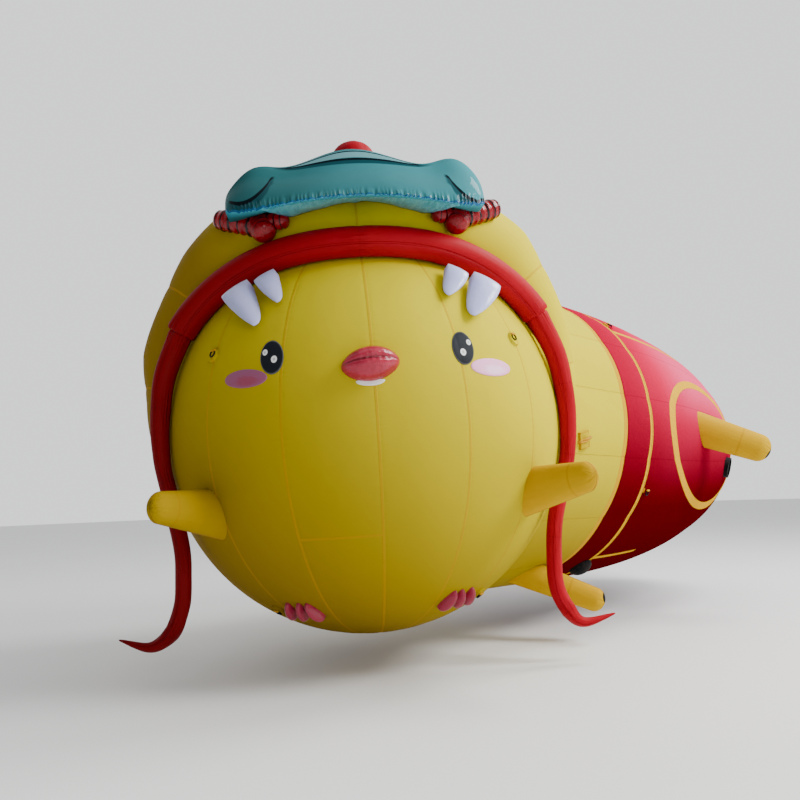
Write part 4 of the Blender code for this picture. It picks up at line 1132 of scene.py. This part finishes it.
def tab_points(half, lift, turn):
    """A square of cloth on the body: half sizes along the body and round it, turned in its plane.

    It stands off the skin by lift with small waves, and its last ring of points is drawn in to it.
    """
    u, v = np.meshgrid(*[np.concatenate([[-1.0], np.linspace(-1.0, 1.0, 25), [1.0]])] * 2, indexing="ij")
    cosine, sine = np.cos(np.radians(turn)), np.sin(np.radians(turn))
    y = TAB_PLACE[0] + half[0] * u * cosine - half[1] * v * sine
    angle = TAB_PLACE[1] + np.degrees((half[0] * u * sine + half[1] * v * cosine) / BODY_RADIUS)
    waves = lift * (1.0 + 0.28 * np.sin(3.1 * u + 1.3 * v) * np.cos(2.3 * v - 0.6))
    waves[[0, -1]] = waves[:, [0, -1]] = -0.010
    return body(on_body(y, angle, waves))


strap_finish = Finish("strap_orange_webbing", (("Specular IOR Level", 0.10),))
strap_u, strap_v = strap_finish.uv()
strap_rows = (strap_v * 14.0).near() + (strap_u * 40.0).near() * 0.5
strap_tone = strap_finish.mix(strap_rows, (0.46, 0.20, 0.006), (0.56, 0.32, 0.010))
strap_finish.close(strap_tone, 0.6 + strap_rows * 0.1, strap_rows, 0.002)
tab_finish = Finish("tab_folded_cloth", (("Specular IOR Level", 0.02),))
tab_u, tab_v = tab_finish.uv()
tab_soft = tab_finish.noise(tab_finish.point(), 24.0, 3.0)
tab_hem = abs(tab_u - 0.5).rise(0.38, 0.40) + abs(tab_v - 0.5).rise(0.38, 0.40)
tab_tone = tab_finish.mix(tab_soft, (0.42, 0.30, 0.002), (0.52, 0.38, 0.003))
tab_tone = tab_finish.mix(tab_hem * 0.4, tab_tone, (0.40, 0.20, 0.001))
tab_finish.close(tab_tone, 0.6 + tab_soft * 0.1, tab_soft + tab_hem * 0.4, 0.006)
tab = surface("flank_tab_cloth", tab_points(TAB_HALF, 0.024, TAB_TURN), tab_finish, middle=(0.0, 1.2, 0.0))
carried(tab, "yellow_cloth", "flank_tab")
strap = surface("flank_tab_strap", tab_points((0.092, 0.013), 0.036, TAB_TURN + 4.0), strap_finish, middle=(0.0, 1.2, 0.0))
carried(strap, "yellow_cloth")
for side_name in ("left", "right"):
    for place in ("upper", "lower"):
        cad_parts[f"ball_tie_{place}_{side_name}"].data.materials[0] = ball_finish.material
    for place in ("top", "flank"):
        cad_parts[f"body_tie_{place}_{side_name}"].data.materials[0] = body_rear_finish.material

# The tie rings: a small black ring lies on each patch under a loop of webbing that is sewn down over
# its top. Handlers' lines are clipped to them.
RING_REACH = 0.026
RING_THICK = 0.0055
RING_DROP = 0.016
TIE_LIFT = 0.027
# Columns: name, whether it is on the head, and its two places there.
TIE_RINGS = (("ball_upper", True, 44.7, 21.3), ("ball_lower", True, 50.0, -52.5),
             ("body_top", False, 2.70, 48.7), ("body_flank", False, 2.52, -22.9))

for name, on_head, first, second in TIE_RINGS:
    for side, side_name in ((-1, "left"), (1, "right")):
        if on_head:
            centre = on_ball(np.array(side * first), np.array(second), TIE_LIFT)
            out = centre / np.linalg.norm(centre)
        else:
            centre = on_body(np.array(first), np.array(second), TIE_LIFT)
            out = np.array([centre[0], 0.0, centre[2]]) / np.hypot(centre[0], centre[2])
            centre, out = centre * (side, 1.0, 1.0), out * (side, 1.0, 1.0)
        place = head if on_head else body
        up = np.array([0.0, 0.0, 1.0]) - out * out[2]
        up /= np.linalg.norm(up)
        across = np.cross(out, up)
        turn = np.linspace(0.0, 2 * np.pi, 33)[:, None]
        circle = centre - up * RING_DROP + across * RING_REACH * np.sin(turn) + up * RING_REACH * np.cos(turn)
        hoop = np.stack([circle + RING_THICK * (np.cos(t) * out + np.sin(t) * (circle - centre + up * RING_DROP) / RING_REACH)
                         for t in np.linspace(0.0, 2 * np.pi, 13)], axis=1)
        carried(surface(f"tie_ring_{name}_{side_name}", place(hoop), rubber_finish), "valve_rubber")
        loop = egg(centre + up * 0.012, out, across, (0.011, 0.030, 0.010), 0.5)
        carried(surface(f"tie_loop_{name}_{side_name}", place(loop), strap_finish), "yellow_cloth")
